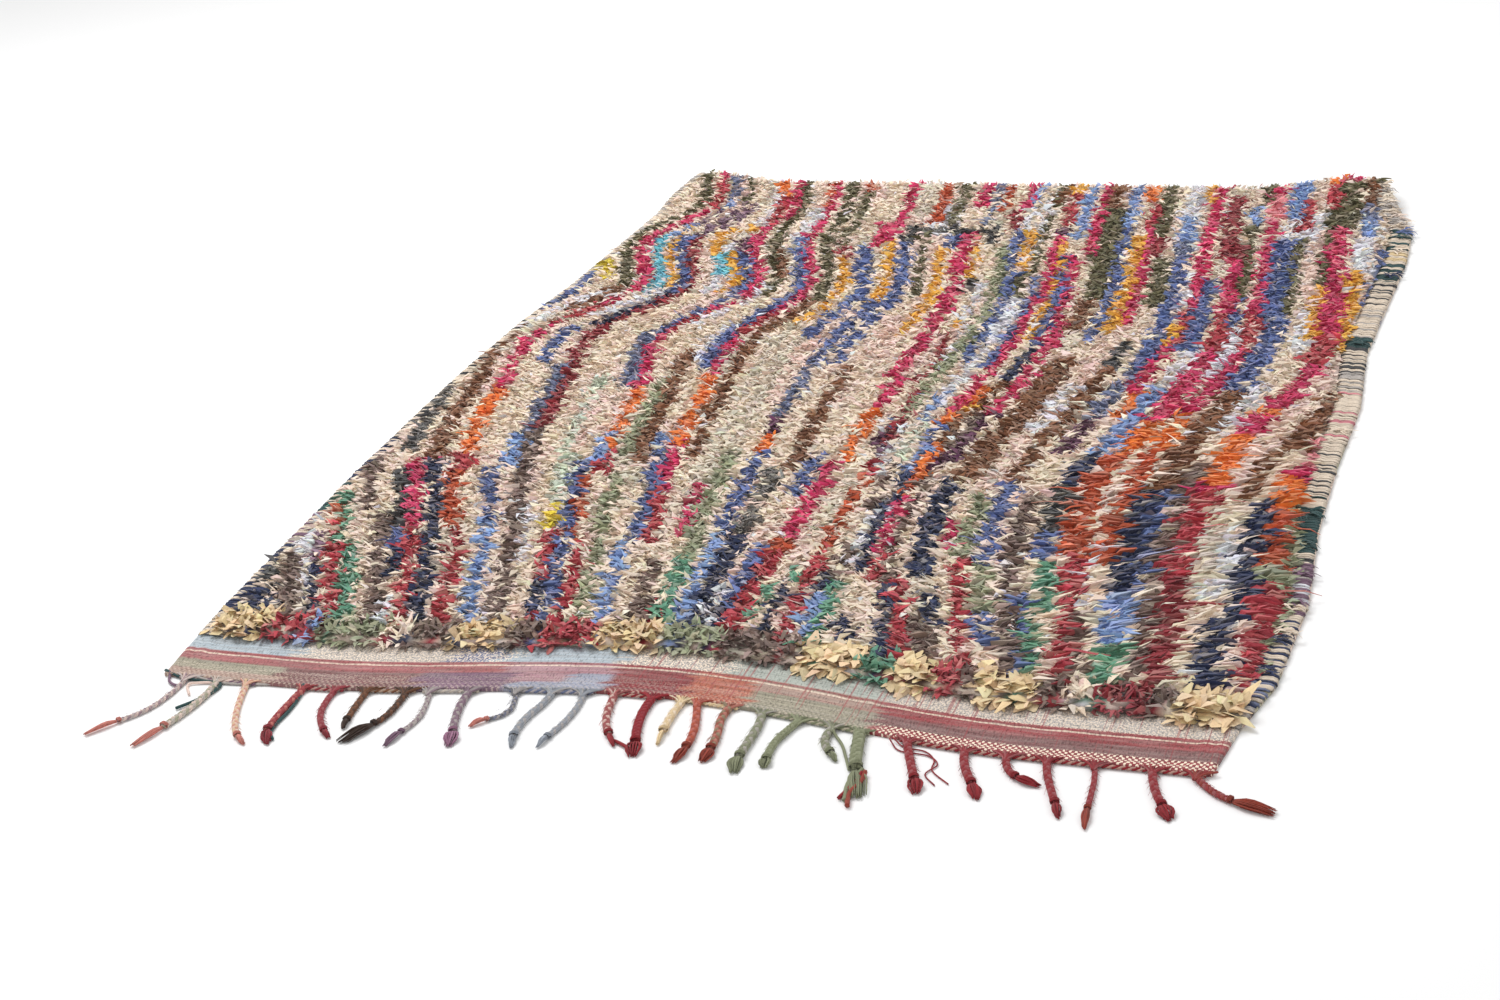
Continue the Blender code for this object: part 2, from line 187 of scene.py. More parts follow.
# Stripes as charted: place across the guides, width, distance at which the stripe starts,
# then its colours, each with the distance that it runs up to and, where it moves, its new place.
# "-" leaves the pale ground between stripes.
STRIPES = (
    (0.010, 0.024, 0.10, "navy .32"),
    (0.035, 0.024, 0.10, "navy .24 charcoal .33"),
    (0.068, 0.030, 0.10, "taupe .36"),
    (0.105, 0.018, 0.10, "navy .33 mauve .42"),
    (0.130, 0.028, 0.10, "red .45 rust .52"),
    (0.155, 0.024, 0.10, "green .40 green .55@.137"),
    (0.195, 0.022, 0.10, "taupe .50 taupe .70@.175 speckle .95@.22"),
    (0.215, 0.018, 0.30, "navy .40 blue .46 charcoal .64 - .70 charcoal 1.00"),
    (0.232, 0.020, 0.10, "red .45 rose .68 brown 1.20@.25 - 1.27 brown 1.40@.265 olive 1.95@.265"),
    (0.255, 0.022, 0.10, "navy .67 brown 1.05"),
    (0.215, 0.018, 1.30, "blue 1.50"),
    (0.240, 0.014, 1.42, "yellow 1.60"),
    (0.290, 0.022, 0.10, "red .46 rust .64@.278 red .70 orange .95 rose 1.22 red 1.32 rose 1.80 red 1.90 "
                         "rose 2.00"),
    (0.313, 0.020, 1.37, "turquoise 1.66"),
    (0.332, 0.014, 1.40, "mustard 1.70"),
    (0.325, 0.021, 0.10, "sky .50 blue .65 sky .78@.345 slate 1.05@.35 blue 1.22 navy 1.38@.348 blue "
                         "1.66@.35 sky 1.72 mauve 1.80 sky 1.86 slate 1.97"),
    (0.363, 0.022, 0.10, "taupe .80 wine .92 wine 1.65 mauve 1.85 olive 2.00"),
    (0.390, 0.021, 0.72, "mint 1.00@.405 - 1.38 milk 1.45@.398 turquoise 1.57@.407 mustard 1.70@.405 "
                         "mauve 1.85"),
    (0.410, 0.020, 0.10, "red .24 navy .33 red .48 yellow .56 mint .72 blush .95 - 1.38 mustard 1.58@.428 "
                         "- 1.68 mustard 1.73@.44 red 1.88@.458 orange 1.97@.455"),
    (0.430, 0.019, 0.10, "blue .70 sky .80@.447 orange .97@.452 slate 1.20@.437 blue 1.57@.445 plum "
                         "1.67@.445"),
    (0.452, 0.019, 0.10, "red .45 rust .65@.44 red .74 orange .97 rose 1.22 red 1.30 rose 1.75@.462 rose "
                         "1.97@.478"),
    (0.475, 0.018, 0.10, "sage .65 - .72 sage 1.00 - 1.38 olive 2.00@.487"),
    (0.493, 0.020, 0.70, "brown 1.12 - 1.45 brown 1.60"),
    (0.510, 0.019, 0.10, "sky .45@.505 blue .75@.517 sky .80 - 1.05 blue 1.60@.52 sky 1.67@.52 - 1.83 "
                         "rust 1.95@.53"),
    (0.533, 0.018, 0.46, "red .62 rose .77 orange 1.03 rose 1.20 red 1.30 rose 2.00"),
    (0.548, 0.018, 0.10, "taupe .42 - .72 brown 1.35 olive 2.00"),
    (0.563, 0.014, 0.10, "red .30 - .47 rose .64 oat 1.25 mustard 1.57 wine 1.63 olive 1.90 rust 2.00"),
    (0.577, 0.021, 0.25, "green .42 sage .75 oat 1.20 blue 1.62@.58 rose 1.75@.59"),
    (0.600, 0.016, 0.10, "sky .50 blue .75 orange .82 plum .88 slate 1.10 blue 1.36 mustard 1.67 rose "
                         "1.97"),
    (0.617, 0.019, 0.10, "navy .50 speckle .70 brown 1.08@.628 blue 1.65@.613 charcoal 1.75@.613 rust "
                         "1.97@.628"),
    (0.643, 0.016, 0.10, "navy .30 blue .47 - .62 blue .76 - 1.20 mustard 1.62 blue 1.70@.65 charcoal "
                         "1.75 olive 1.97"),
    (0.628, 0.012, 1.38, "olive 1.70"),
    (0.662, 0.028, 0.10, "red .45 rust .50 rose .75 orange .93@.675 rose 1.05@.68 rose 1.70 - 1.85 rose "
                         "1.96"),
    (0.685, 0.016, 0.27, "green .37"),
    (0.685, 0.016, 1.40, "charcoal 1.47@.695 mustard 1.68 - 1.75 slate 1.95"),
    (0.700, 0.014, 0.24, "navy .37@.71 green .42@.71 - .80 plum .86@.72 blue .90@.72 - 1.26 mustard 1.30"),
    (0.742, 0.014, 0.84, "wine .93 wine 1.00@.725 wine 1.15@.712 wine 1.23@.70"),
    (0.710, 0.022, 1.65, "charcoal 1.75 - 1.83 rust 2.00"),
    (0.740, 0.024, 0.10, "red .47 rust .70 red .75 mauve .80 wine .90 sage 1.65 - 1.73 wine 1.82 rose "
                         "2.00@.757"),
    (0.765, 0.022, 0.25, "sky .35 navy .42 - .88 sky 1.00@.78 milk 1.12@.79 blue 1.52 blue 1.72@.76 milk "
                         "1.85 sky 1.95"),
    (0.785, 0.022, 0.10, "green .40 taupe .50 - .60 taupe .75 mint .90 milk 1.40 olive 1.50 mustard 1.72 "
                         "- 1.85 olive 1.95@.81"),
    (0.820, 0.026, 0.24, "navy .30 - .41 navy .72 sky .80 blue .88 orange .92 rose 1.40@.825"),
    (0.815, 0.018, 1.10, "blue 1.50@.812 olive 1.80@.81 - 1.87 brown 2.00"),
    (0.845, 0.025, 0.40, "red .48 rose .63 rust .70 orange .83 brown .92 mustard .96 orange 1.03 - 1.38 "
                         "rose 1.70@.838 plum 1.75 red 1.90 mustard 1.97"),
    (0.870, 0.021, 0.10, "navy .40 taupe .72 plum .80 taupe .92 brown 1.05 navy 1.20 blue 1.60@.867 - "
                         "1.68 sky 1.95@.875"),
    (0.852, 0.016, 1.22, "mustard 1.68"),
    (0.893, 0.028, 0.10, "red .42 - .75 plum .92 rose 1.30@.895 rose 1.60@.88 rose 2.00@.905"),
    (0.920, 0.042, 0.10, "taupe .30 - .41 navy .70 brown 1.15@.937 - 1.25 brown 1.40 olive 1.85@.93 brown "
                         "1.95 rust 2.00"),
    (0.940, 0.018, 0.28, "navy .38"),
    (0.950, 0.016, 0.50, "rose .58 - 1.22 blue 1.75 sky 1.97"),
    (0.967, 0.018, 0.10, "red .48 sage .65 - 1.25 mustard 1.70 - 1.75 red 1.88@.977 orange 1.95"),
    (0.979, 0.014, 1.30, "rose 1.80"),
    (0.990, 0.022, 0.25, "blue .33 sage .45 blue .70 brown 1.12 charcoal 1.22 - 1.38 olive 1.60@1.00 wine "
                         "1.70 olive 2.00"),
    (1.020, 0.020, 0.10, "taupe .65 - .80 plum .92 slate 1.10 blue 1.60 slate 1.68 sky 1.80"),
    (1.042, 0.020, 0.93, "orange 1.02@1.047 rose 1.22@1.035 red 1.35 rose 2.00@1.045"),
    (1.035, 0.012, 1.18, "mustard 1.30 - 1.88 mustard 1.98"),
    (1.036, 0.014, 0.14, "blue .38"),
    (1.055, 0.024, 0.10, "green .33@1.048 green .48@1.058 blue .56@1.05 charcoal .70@1.05 navy .80@1.05 "
                         "sky 1.05@1.06 - 1.20 blue 1.50 - 1.60 wine 1.90@1.068"),
    (1.085, 0.031, 0.10, "red .50 rust .80@1.077 orange .92 rose 1.20 red 1.35 rose 1.60 wine 1.68"),
    (1.100, 0.017, 0.10, "taupe .36 - 1.08 milk 1.30 blue 1.42@1.092 olive 1.77@1.092 sky 1.87@1.092 "
                         "olive 2.00"),
    (1.113, 0.020, 0.48, "rust .82 orange .95 rose 1.20 red 1.35 rose 1.78 pink 1.90 rose 2.00"),
    (1.137, 0.032, 0.10, "green .28 sky .40 navy .70 brown 1.05@1.145 blue 1.35 blue 1.70@1.130 - 1.80 "
                         "sky 1.95"),
    (1.146, 0.013, 1.35, "olive 1.70"),
    (1.154, 0.012, 0.40, "blue .70"),
    (1.168, 0.018, 0.10, "taupe .78 - 1.20 milk 1.38 blush 1.75 red 1.88@1.147"),
    (1.175, 0.018, 1.25, "mustard 1.48 olive 1.85 red 1.92 orange 1.98"),
    (1.193, 0.036, 0.10, "wine .45 red .70@1.190 rose .73 orange .88 rose .96 orange .99 rose 1.15@1.203 "
                         "red 1.27 rose 1.55@1.197 rose 1.77@1.185 olive 1.92 rose 1.98"),
    (1.228, 0.030, 0.70, "blush 1.23 mustard 1.55@1.217 milk 1.72 sky 1.80 slate 1.86 brown 1.97"),
    (1.265, 0.036, 0.10, "navy .36@1.25 navy .68@1.268 brown .85@1.243 brown 1.12@1.262 - 1.35 blue "
                         "1.52@1.253 blue 1.68@1.262"),
    (1.293, 0.032, 0.10, "red .45 sage .50 rust .66 orange .76 rose .80 pink .90 blush 1.05"),
    (1.317, 0.030, 0.10, "sage .90 blush 1.05"),
)

# Patches across the stripes: a thin dark line of speckled and charcoal rags, and a dark knot: middle, half
# width, half depth, colour
PATCHES = (
    (0.520, 1.717, 0.060, 0.0065, "speckle"),
    (0.600, 1.709, 0.050, 0.0080, "charcoal"),
    (0.655, 1.430, 0.024, 0.0200, "bark"),
)
PATCH_SLANT = 0.10

# The pale ground between the stripes, the usual colours more than once
PALE_RAGS = ("cream", "cream", "cream", "blush", "shell", "cream", "oat", "cream", "blush", "cream", "milk",
             "cream", "shell")
STRIPE_FULLNESS = 0.86
# The chart's last stretch is squeezed, so that its stripes reach the far edge
CHART_END = 1.88
CHART_SQUEEZE = 0.50
# Beyond this much fanning out of the guides a stripe keeps its width on the rug
FULL_SPREAD = 1.35
PALE_BAND = 0.024
PALE_RUN = 0.19

# Blocks of large tufts at the near end: distance along the hem that each runs up to, colour
NEAR_TUFTS = (
    (-0.020, "taupe"), (0.080, "straw"), (0.132, "red"), (0.150, "sky"), (0.240, "sage"), (0.275, "cream"),
    (0.335, "taupe"), (0.400, "straw"), (0.445, "taupe"), (0.515, "red"), (0.600, "straw"), (0.680, "sage"),
    (0.785, "taupe"), (0.860, "straw"), (0.905, "green"), (0.955, "straw"), (0.985, "red"), (1.010, "taupe"),
    (1.080, "straw"), (1.115, "taupe"), (1.150, "cream"), (1.210, "wine"), (1.240, "taupe"), (1.320, "straw"),
    (1.400, "taupe"),
)

# Wrapped selvedges: distance that a stretch runs up to, its two yarns, share of the second
RIGHT_WRAPS = (
    (0.15, "dust", "navy", 0.25),
    (0.20, "cream", "slate", 0.40),
    (0.36, "cream", "navy", 0.45),
    (0.40, "mauve", "cream", 0.35),
    (0.45, "milk", "mauve", 0.40),
    (0.50, "mauve", "dust", 0.20),
    (0.53, "cream", "charcoal", 0.35),
    (0.66, "teal", "teal", 0.00),
    (0.70, "cream", "teal", 0.15),
    (0.85, "cream", "charcoal", 0.25),
    (1.05, "cream", "pink", 0.18),
    (1.12, "dust", "cream", 0.40),
    (1.22, "cream", "charcoal", 0.35),
    (1.26, "teal", "cream", 0.15),
    (1.38, "cream", "dust", 0.25),
    (1.50, "cream", "charcoal", 0.40),
    (1.60, "teal", "cream", 0.40),
    (1.65, "straw", "cream", 0.50),
    (1.75, "teal", "cream", 0.50),
    (1.96, "cream", "dust", 0.45),
)
LEFT_WRAPS = (
    (0.16, "cream", "dust", 0.40),
    (0.36, "navy", "cream", 0.45),
    (0.46, "mauve", "cream", 0.40),
    (0.56, "teal", "cream", 0.40),
    (0.72, "navy", "cream", 0.45),
    (0.95, "charcoal", "cream", 0.45),
    (1.30, "cream", "charcoal", 0.35),
    (1.96, "dust", "cream", 0.40),
)
WRAP_PITCH = 0.0050
WRAPS_START = 0.102
# Width of a wrap as a share of the pitch, its thickness over the edge and under it
WRAP_FULLNESS = 1.25
WRAP_THICKNESS = 0.0017
WRAP_THIN_END = 0.0012
# Wraps from one bar of the second yarn to the next, before and after a distance from the hem
BEAT_CHANGE = 1.20
WRAP_BEATS = (3.3, 5.4)
# Way of one wrap over the edge cords: distance in from the edge, height of its middle
WRAP_WAY = (
    (0.0370, 0.0036),
    (0.0310, 0.0062),
    (0.0250, 0.0070),
    (0.0190, 0.0054),
    (0.0125, 0.0066),
    (0.0060, 0.0066),
    (0.0012, 0.0048),
    (0.0004, 0.0024),
    (0.0040, 0.0011),
)

# Braids of each fringe piece, as the solids have them: place along the hem, four headings in
# degrees away from straight out, length, width, tassel's length and width; then the yarns of the
# three strands and of the tassel
FRINGE = {
    "fringe_cream_mauve": (
        (0.035, 5, -8, -40, -30, 0.160, 0.0075, 0.045, 0.0090, "mauve dust blush salmon"),
        (0.080, 10, -5, -15, -20, 0.162, 0.0100, 0.050, 0.0095, "dust sage blush salmon"),
        (0.122, 15, 22, 30, 55, 0.150, 0.0085, 0.025, 0.0090, "blush salmon straw salmon"),
    ),
    "fringe_wine": (
        (0.200, 2, 0, 8, 40, 0.130, 0.0100, 0.035, 0.0160, "wine wine salmon wine"),
        (0.242, 0, 14, 36, 45, 0.116, 0.0085, 0.020, 0.0085, "wine dusk wine wine"),
    ),
    "fringe_brown": (
        (0.283, 4, 6, 10, 12, 0.086, 0.0085, 0.020, 0.0080, "brown bark brown bark"),
        (0.333, 8, 0, -30, -18, 0.128, 0.0090, 0.052, 0.0200, "bark brown bark bark"),
    ),
    "fringe_mauve": (
        (0.362, 20, 12, -16, -5, 0.128, 0.0070, 0.034, 0.0120, "dust mauve dust mauve"),
        (0.411, 0, 14, 22, 12, 0.125, 0.0100, 0.034, 0.0230, "mauve dust mauve orchid"),
    ),
    "fringe_grey": (
        (0.469, 18, 12, -55, -28, 0.098, 0.0065, 0.025, 0.0080, "slate dust charcoal salmon"),
        (0.513, 4, -14, 4, 24, 0.127, 0.0095, 0.025, 0.0105, "ash dust ash ash"),
        (0.552, 12, 0, -12, -8, 0.126, 0.0080, 0.025, 0.0085, "ash dust ash ash"),
    ),
    "fringe_madder": (
        (0.591, 5, 14, 30, 36, 0.118, 0.0100, 0.030, 0.0080, "madder blush madder madder"),
        (0.639, -5, 10, 19, 15, 0.130, 0.0115, 0.032, 0.0230, "madder wine madder madder"),
    ),
    "fringe_rust": (
        (0.677, -6, 2, 6, 6, 0.096, 0.0100, 0.030, 0.0080, "straw straw cream straw"),
        (0.696, 20, 16, 4, -14, 0.131, 0.0100, 0.036, 0.0150, "rust salmon brick brick"),
        (0.737, -9, 15, 5, -9, 0.118, 0.0105, 0.030, 0.0190, "moss salmon brick brick"),
    ),
    "fringe_sage": (
        (0.780, 12, 0, 0, 18, 0.128, 0.0110, 0.036, 0.0230, "moss dust moss moss"),
        (0.827, -18, -14, 4, 12, 0.104, 0.0100, 0.018, 0.0170, "moss sage moss moss"),
        (0.870, -16, 10, 40, 36, 0.075, 0.0100, 0.020, 0.0100, "moss dust moss moss"),
        (0.904, 12, 12, 22, 16, 0.135, 0.0150, 0.060, 0.0230, "moss sage moss moss"),
    ),
    "fringe_red": (
        (0.962, 18, 22, 22, 20, 0.106, 0.0105, 0.030, 0.0210, "madder dusk madder madder"),
        (1.030, 8, 22, 30, 20, 0.098, 0.0105, 0.032, 0.0230, "madder dusk madder madder"),
        (1.078, 4, 30, 65, 78, 0.075, 0.0090, 0.034, 0.0150, "madder dusk madder madder"),
        (1.123, 10, 20, 22, 18, 0.112, 0.0095, 0.030, 0.0130, "madder dusk madder madder"),
        (1.175, 15, 4, 4, 8, 0.123, 0.0070, 0.040, 0.0100, "madder dusk madder brick"),
        (1.238, 10, 18, 28, 30, 0.096, 0.0100, 0.030, 0.0210, "madder dusk madder madder"),
        (1.284, 30, 50, 76, 72, 0.112, 0.0090, 0.052, 0.0220, "madder dusk brick brick"),
    ),
}
BACKING_DEPTH = 0.006
TASSEL_HEIGHT = 0.0085
TASSEL_FULLNESS = 1.15
# Width left at a tassel's tip: of a bud, and of a brush, which a tassel as long as this is
BUD_TIP = 0.55
BRUSH_TIP = 0.92
BRUSH_LENGTH = 0.045
YARN_BLEND = 0.40
# Fuzz: hairs of a braid, their length and thickness
FUZZ_HAIRS = 26
FUZZ_LENGTH = 0.0060
FUZZ_WIDTH = 0.0005
BRAID_STEPS = 60
TASSEL_STEPS = 7
# Turns of yarn round a braid's neck, the points along them, their thickness
NECK_TURNS = 2.6
NECK_POINTS = 34
NECK_YARN = 0.0020
PLAIT_PITCH = 1.9
PLAIT_SWING = 0.25
PLAIT_LIFT = 0.13
STRAND_WIDTH = 0.52
STRAND_HEIGHT = 0.46
TASSEL_YARNS = 22
TASSEL_YARN_WIDTH = 0.0026
GATHER_REACH = 0.020
GATHER_YARNS = 9

# Loose cords by the fringe: piece that holds it, yarn, thickness, then places on the floor
LOOSE_CORDS = (
    ("fringe_cream_mauve", "teal", 0.0042, (
        (-0.002, 0.006), (0.025, -0.002), (0.055, -0.006), (0.084, -0.008), (0.088, -0.024), (0.078, -0.050),
        (0.062, -0.074))),
    ("fringe_cream_mauve", "dust", 0.0034, (
        (0.050, -0.003), (0.090, -0.006), (0.130, -0.002), (0.165, 0.004), (0.190, 0.008))),
    ("fringe_cream_mauve", "mauve", 0.0036, (
        (0.006, 0.004), (0.014, -0.012), (0.024, -0.020), (0.034, -0.022))),
    ("fringe_cream_mauve", "blush", 0.0034, (
        (0.100, -0.002), (0.060, -0.010), (0.045, -0.018), (0.060, -0.040))),
    ("fringe_wine", "teal", 0.0040, (
        (0.196, 0.004), (0.204, -0.022), (0.208, -0.055), (0.208, -0.085), (0.212, -0.105), (0.222, -0.118))),
    ("fringe_madder", "madder", 0.0044, (
        (0.622, -0.046), (0.636, -0.052), (0.650, -0.060), (0.662, -0.068))),
    ("fringe_sage", "moss", 0.0038, (
        (0.872, 0.014), (0.890, -0.010), (0.902, -0.034), (0.914, -0.060))),
    ("fringe_sage", "brick", 0.0060, (
        (0.934, -0.064), (0.934, -0.086), (0.929, -0.108), (0.934, -0.132))),
    ("fringe_sage", "madder", 0.0050, (
        (0.931, -0.066), (0.927, -0.090), (0.920, -0.118))),
    ("fringe_sage", "moss", 0.0056, (
        (0.930, -0.060), (0.922, -0.080), (0.923, -0.100), (0.928, -0.122))),
    ("fringe_red", "madder", 0.0018, (
        (0.943, 0.011), (0.962, -0.002), (0.985, -0.006), (1.000, -0.022), (1.004, -0.044), (1.028, -0.067))),
    ("fringe_red", "wine", 0.0018, (
        (0.940, 0.008), (0.958, -0.010), (0.990, -0.014), (1.006, -0.030), (0.998, -0.052), (1.014, -0.072))),
)
# Points of a loose yarn, and how many of them its start takes to come down from the hem, from this height
CORD_POINTS = 40
CORD_FALL = 6
CORD_START_HEIGHT = 0.0050

# Rags: pitch of the rows of knots and of the knots in a row, rags of a knot, their usual length and
# width, the height they leave the pile's bed at
ROW_PITCH = 0.0205
KNOT_PITCH = 0.0100
LEAVES_PER_KNOT = 13
RAG_LENGTH = 0.0176
RAG_WIDTH = 0.0050
KNOT_HEIGHT = 0.0085
# Lowest height of a rag over the cloth and over the wrapped edges, and the pile's greatest height
CLOTH_TOP = 0.0036
WRAPS_TOP = 0.0080
PILE_TOP = 0.0225
FOLD_BACK = 0.15
# Sections of a rag leaf and of a near tuft's petal: share of the length, share of the width
LEAF_SECTIONS = ((0.0, 0.60), (0.40, 1.0), (0.75, 0.75), (1.0, 0.35))
PETAL_SECTIONS = ((0.0, 0.70), (0.52, 1.0), (1.0, 0.22))
PETAL_PITCH = 0.0034
PETAL_ROWS = 5
CRUMPLE = 0.0009
# Shapes of leaves and petals: sections, thickness of the fold as a share of the width, crumpling
LEAF_SHAPE = {"sections": LEAF_SECTIONS, "thickness": 0.22, "crumple": CRUMPLE}
PETAL_SHAPE = {"sections": PETAL_SECTIONS, "thickness": 0.07, "crumple": 0.0017}
# Shares of a scrap's width and length at which its root, its side corners and its tip lie, and the painted
# shade of its side corners, a little darker than the tip
SCRAP_ACROSS = (0.5, 0.0, 1.0, 0.5)
SCRAP_ALONG = (0.0, 0.45, 0.45, 1.0)
PAINTED_MIDDLE_SHADE = 0.98
# From one rag to the next its cloth is taken this much further across and along
CLOTH_STEP = (0.0137, 0.0291)
SCRAP_BEND = 0.45
SCRAP_SLIP = 0.10
LONG_SHARE = 0.02
TONE_LIMIT = 0.87
# Painted shade and light on every rag: its colour darkened at the root, where the pile shades it, and
# brightened at the tip, where more light falls
PAINTED_ROOT_SHADE = 0.90
PAINTED_TIP_LIGHT = 1.06
# Where along a leaf its stripe's colour is taken, so that stripes hold together over leaning leaves
SHOWN_SHARE = 0.48
# Share of single rags in any pale colour, inside a stripe and in the pale ground
LOOSE_SHARES = (0.02, 0.22)
# How far a stripe's edge steps from row to row, and how far a knot strays from it
TOOTH = 0.0028
STRAY = 0.0018

# Tufts that stand out past the right selvedge: distance from the hem, colour
EDGE_TUFTS = (
    (0.225, "navy"), (0.300, "navy"), (0.312, "cream"), (0.380, "cream"), (0.395, "mauve"), (0.470, "mauve"),
    (0.560, "teal"), (0.640, "teal"), (0.905, "cream"), (1.235, "teal"), (1.530, "navy"), (1.655, "cream"),
    (1.715, "teal"), (1.735, "blue"), (1.765, "cream"), (1.780, "dust"), (1.800, "shell"), (1.820, "cream"),
    (1.840, "dust"), (1.858, "cream"), (1.876, "oat"), (1.895, "dust"), (1.915, "cream"), (1.930, "olive"),
)
TUFT_STRIPS = 9

# Finished pieces, attached to the root body at the end
PILE = []
TRIM = []


def smooth(share):
    """Even S-shaped rise from 0 to 1, held at its ends."""
    share = np.clip(share, 0.0, 1.0)
    return share * share * (3.0 - 2.0 * share)


def selvedge(y):
    """Left and right edge of the cloth at a distance from the hem."""
    marks, left, right = np.array(SELVEDGES).T
    return np.interp(y, marks, left), np.interp(y, marks, right)


def hem_bow(x):
    """How far the hem is drawn in: a squared cosine over the bow's width."""
    share = np.clip((x - BOW_CENTRE) / BOW_HALF_WIDTH, -1.0, 1.0)
    return BOW_DEPTH * np.cos(0.25 * TURN * share) ** 2


def drawn_in(x, y):
    """Distance from the hem's straight line, with the bow added and faded out into the pile."""
    return y + hem_bow(x) * (1.0 - smooth((y - PILE_START) / BOW_FADE))


def corner_lift(x, y):
    """Height of the cloth over the floor, where a far corner curls up."""
    lift = np.zeros(np.shape(x))
    for corner_x, corner_y, height, radius in CURLED_CORNERS:
        lift = lift + height * smooth(1.0 - np.hypot(x - corner_x, y - corner_y) / radius)
    return lift


def on_floor(x, y, z):
    """Loom places as points of the model, one row of three numbers for each."""
    return np.stack(np.broadcast_arrays(x - MIDDLE[0], y - MIDDLE[1], z), axis=-1)


def linear(name):
    """A named colour as linear light."""
    share = np.array(COLOURS[name]) / 255.0
    return np.where(share <= 0.04045, share / 12.92, ((share + 0.055) / 1.055) ** 2.4)


def curve_through(distance, marks, values):
    """Smooth curve through values at the marks: cubic pieces with the slopes of their neighbours."""
    marks = np.array(marks)
    values = np.array(values)
    slopes = np.gradient(values, marks, axis=0)
    piece = np.clip(np.searchsorted(marks, distance) - 1, 0, len(marks) - 2)
    step = marks[piece + 1] - marks[piece]
    share = np.clip((distance - marks[piece]) / step, 0.0, 1.0)
    if values.ndim > 1:
        share = share[:, None]
        step = step[:, None]
    rise = share * share * (3.0 - 2.0 * share)
    start = share * (1.0 - share) ** 2 * step * slopes[piece]
    end = share * share * (share - 1.0) * step * slopes[piece + 1]
    return values[piece] * (1.0 - rise) + values[piece + 1] * rise + start + end


def chart_place(x, y):
    """A loom place as the stripe chart has it: place across the guides, distance along them.

    The third result is how far the guides have fanned out there, as real width over charted width.
    """
    tip_x = x - TIP_SHIFT[0]
    tip_y = y - TIP_SHIFT[1]
    lines = np.array([curve_through(tip_y, GUIDE_STATIONS, guide) for guide in GUIDES])
    feet = np.array([guide[0] for guide in GUIDES])
    left = np.clip((tip_x > lines).sum(axis=0) - 1, 0, len(GUIDES) - 2)
    pick = np.arange(len(tip_x))
    apart = lines[left + 1, pick] - lines[left, pick]
    span = feet[left + 1] - feet[left]
    return feet[left] + (tip_x - lines[left, pick]) / apart * span, tip_y, apart / span


def stripe_runs(place, start, text):
    """The runs of one stripe: colour, start, end and place of each."""
    words = text.split()
    for name, mark in zip(words[::2], words[1::2]):
        end, _, moved = mark.partition("@")
        yield name, start, float(end), float(moved) if moved else place
        start = float(end)


def rag_colours(x, y, rng):
    """Colour and stripe of the rag knotted at each place: its stripe's, or the pale ground's."""
    across, along, spread = chart_place(x, y)
    along = np.where(along > CHART_END, CHART_END + CHART_SQUEEZE * (along - CHART_END), along)
    narrowed = np.maximum(1.0, spread / FULL_SPREAD)
    names = list(COLOURS)
    band = np.floor(across / PALE_BAND).astype(int) + 40
    shifts = rng.uniform(0.0, PALE_RUN, 200)
    run = np.floor((along + shifts[band]) / PALE_RUN).astype(int)
    table = rng.integers(0, len(PALE_RAGS), (200, 40))
    pale = np.array([names.index(name) for name in PALE_RAGS])
    colour = pale[table[band, run]]
    nearest = np.full(len(x), 0.5)
    for place, width, start, text in STRIPES:
        for name, begin, end, centre in stripe_runs(place, start, text):
            if name == "-":
                continue
            off = np.abs(across - centre) * narrowed / (width * STRIPE_FULLNESS)
            hit = (off < nearest) & (along >= begin) & (along < end)
            colour[hit] = names.index(name)
            nearest[hit] = off[hit]
    for centre_x, centre_y, half_width, half_depth, name in PATCHES:
        off_x = (x - TIP_SHIFT[0] - centre_x) / half_width
        off_y = (along - centre_y + PATCH_SLANT * off_x * half_width) / half_depth
        hit = np.hypot(off_x, off_y) < 1.0
        colour[hit] = names.index(name)
        nearest[hit] = 0.0
    return colour, nearest < 0.5


def mesh_piece(name, points, faces, material, colours=None, cloth=None, smooth_faces=True):
    """A mesh object from whole arrays: points, lists of faces with equal sides, colours, UV."""
    points = np.asarray(points, dtype=float).reshape(-1, 3)
    volume = 0.0
    for group in faces:
        for corner in range(1, group.shape[1] - 1):
            fan = points[group[:, 0]], points[group[:, corner]], points[group[:, corner + 1]]
            volume += np.einsum("ij,ij->", fan[0], np.cross(fan[1], fan[2]))
    if volume < 0.0:
        faces = [group[:, ::-1] for group in faces]
    corners = np.concatenate([group.ravel() for group in faces])
    sizes = np.concatenate([np.full(len(group), group.shape[1]) for group in faces])
    starts = np.concatenate(([0], np.cumsum(sizes)[:-1]))
    mesh = bpy.data.meshes.new(name)
    mesh.vertices.add(len(points))
    mesh.vertices.foreach_set("co", points.astype(np.float32).ravel())
    mesh.loops.add(len(corners))
    mesh.loops.foreach_set("vertex_index", corners.astype(np.int32))
    mesh.polygons.add(len(sizes))
    mesh.polygons.foreach_set("loop_start", starts.astype(np.int32))
    mesh.update(calc_edges=True)
    mesh.polygons.foreach_set("use_smooth", np.full(len(sizes), smooth_faces))
    if colours is not None:
        layer = mesh.color_attributes.new("rag_colour", "FLOAT_COLOR", "POINT")
        layer.data.foreach_set("color", colours.astype(np.float32).ravel())
    if cloth is not None:
        layer = mesh.uv_layers.new(name="cloth_lengths")
        layer.data.foreach_set("uv", cloth.reshape(-1, 2)[corners].astype(np.float32).ravel())
    mesh.materials.append(material)
    piece = bpy.data.objects.new(name, mesh)
    bpy.context.scene.collection.objects.link(piece)
    return piece


def slab_points(x, y, top, under):
    """Points of a closed slab: all of its top, then all of its underside."""
    return np.concatenate([on_floor(x, y, z).reshape(-1, 3) for z in (top, under)])


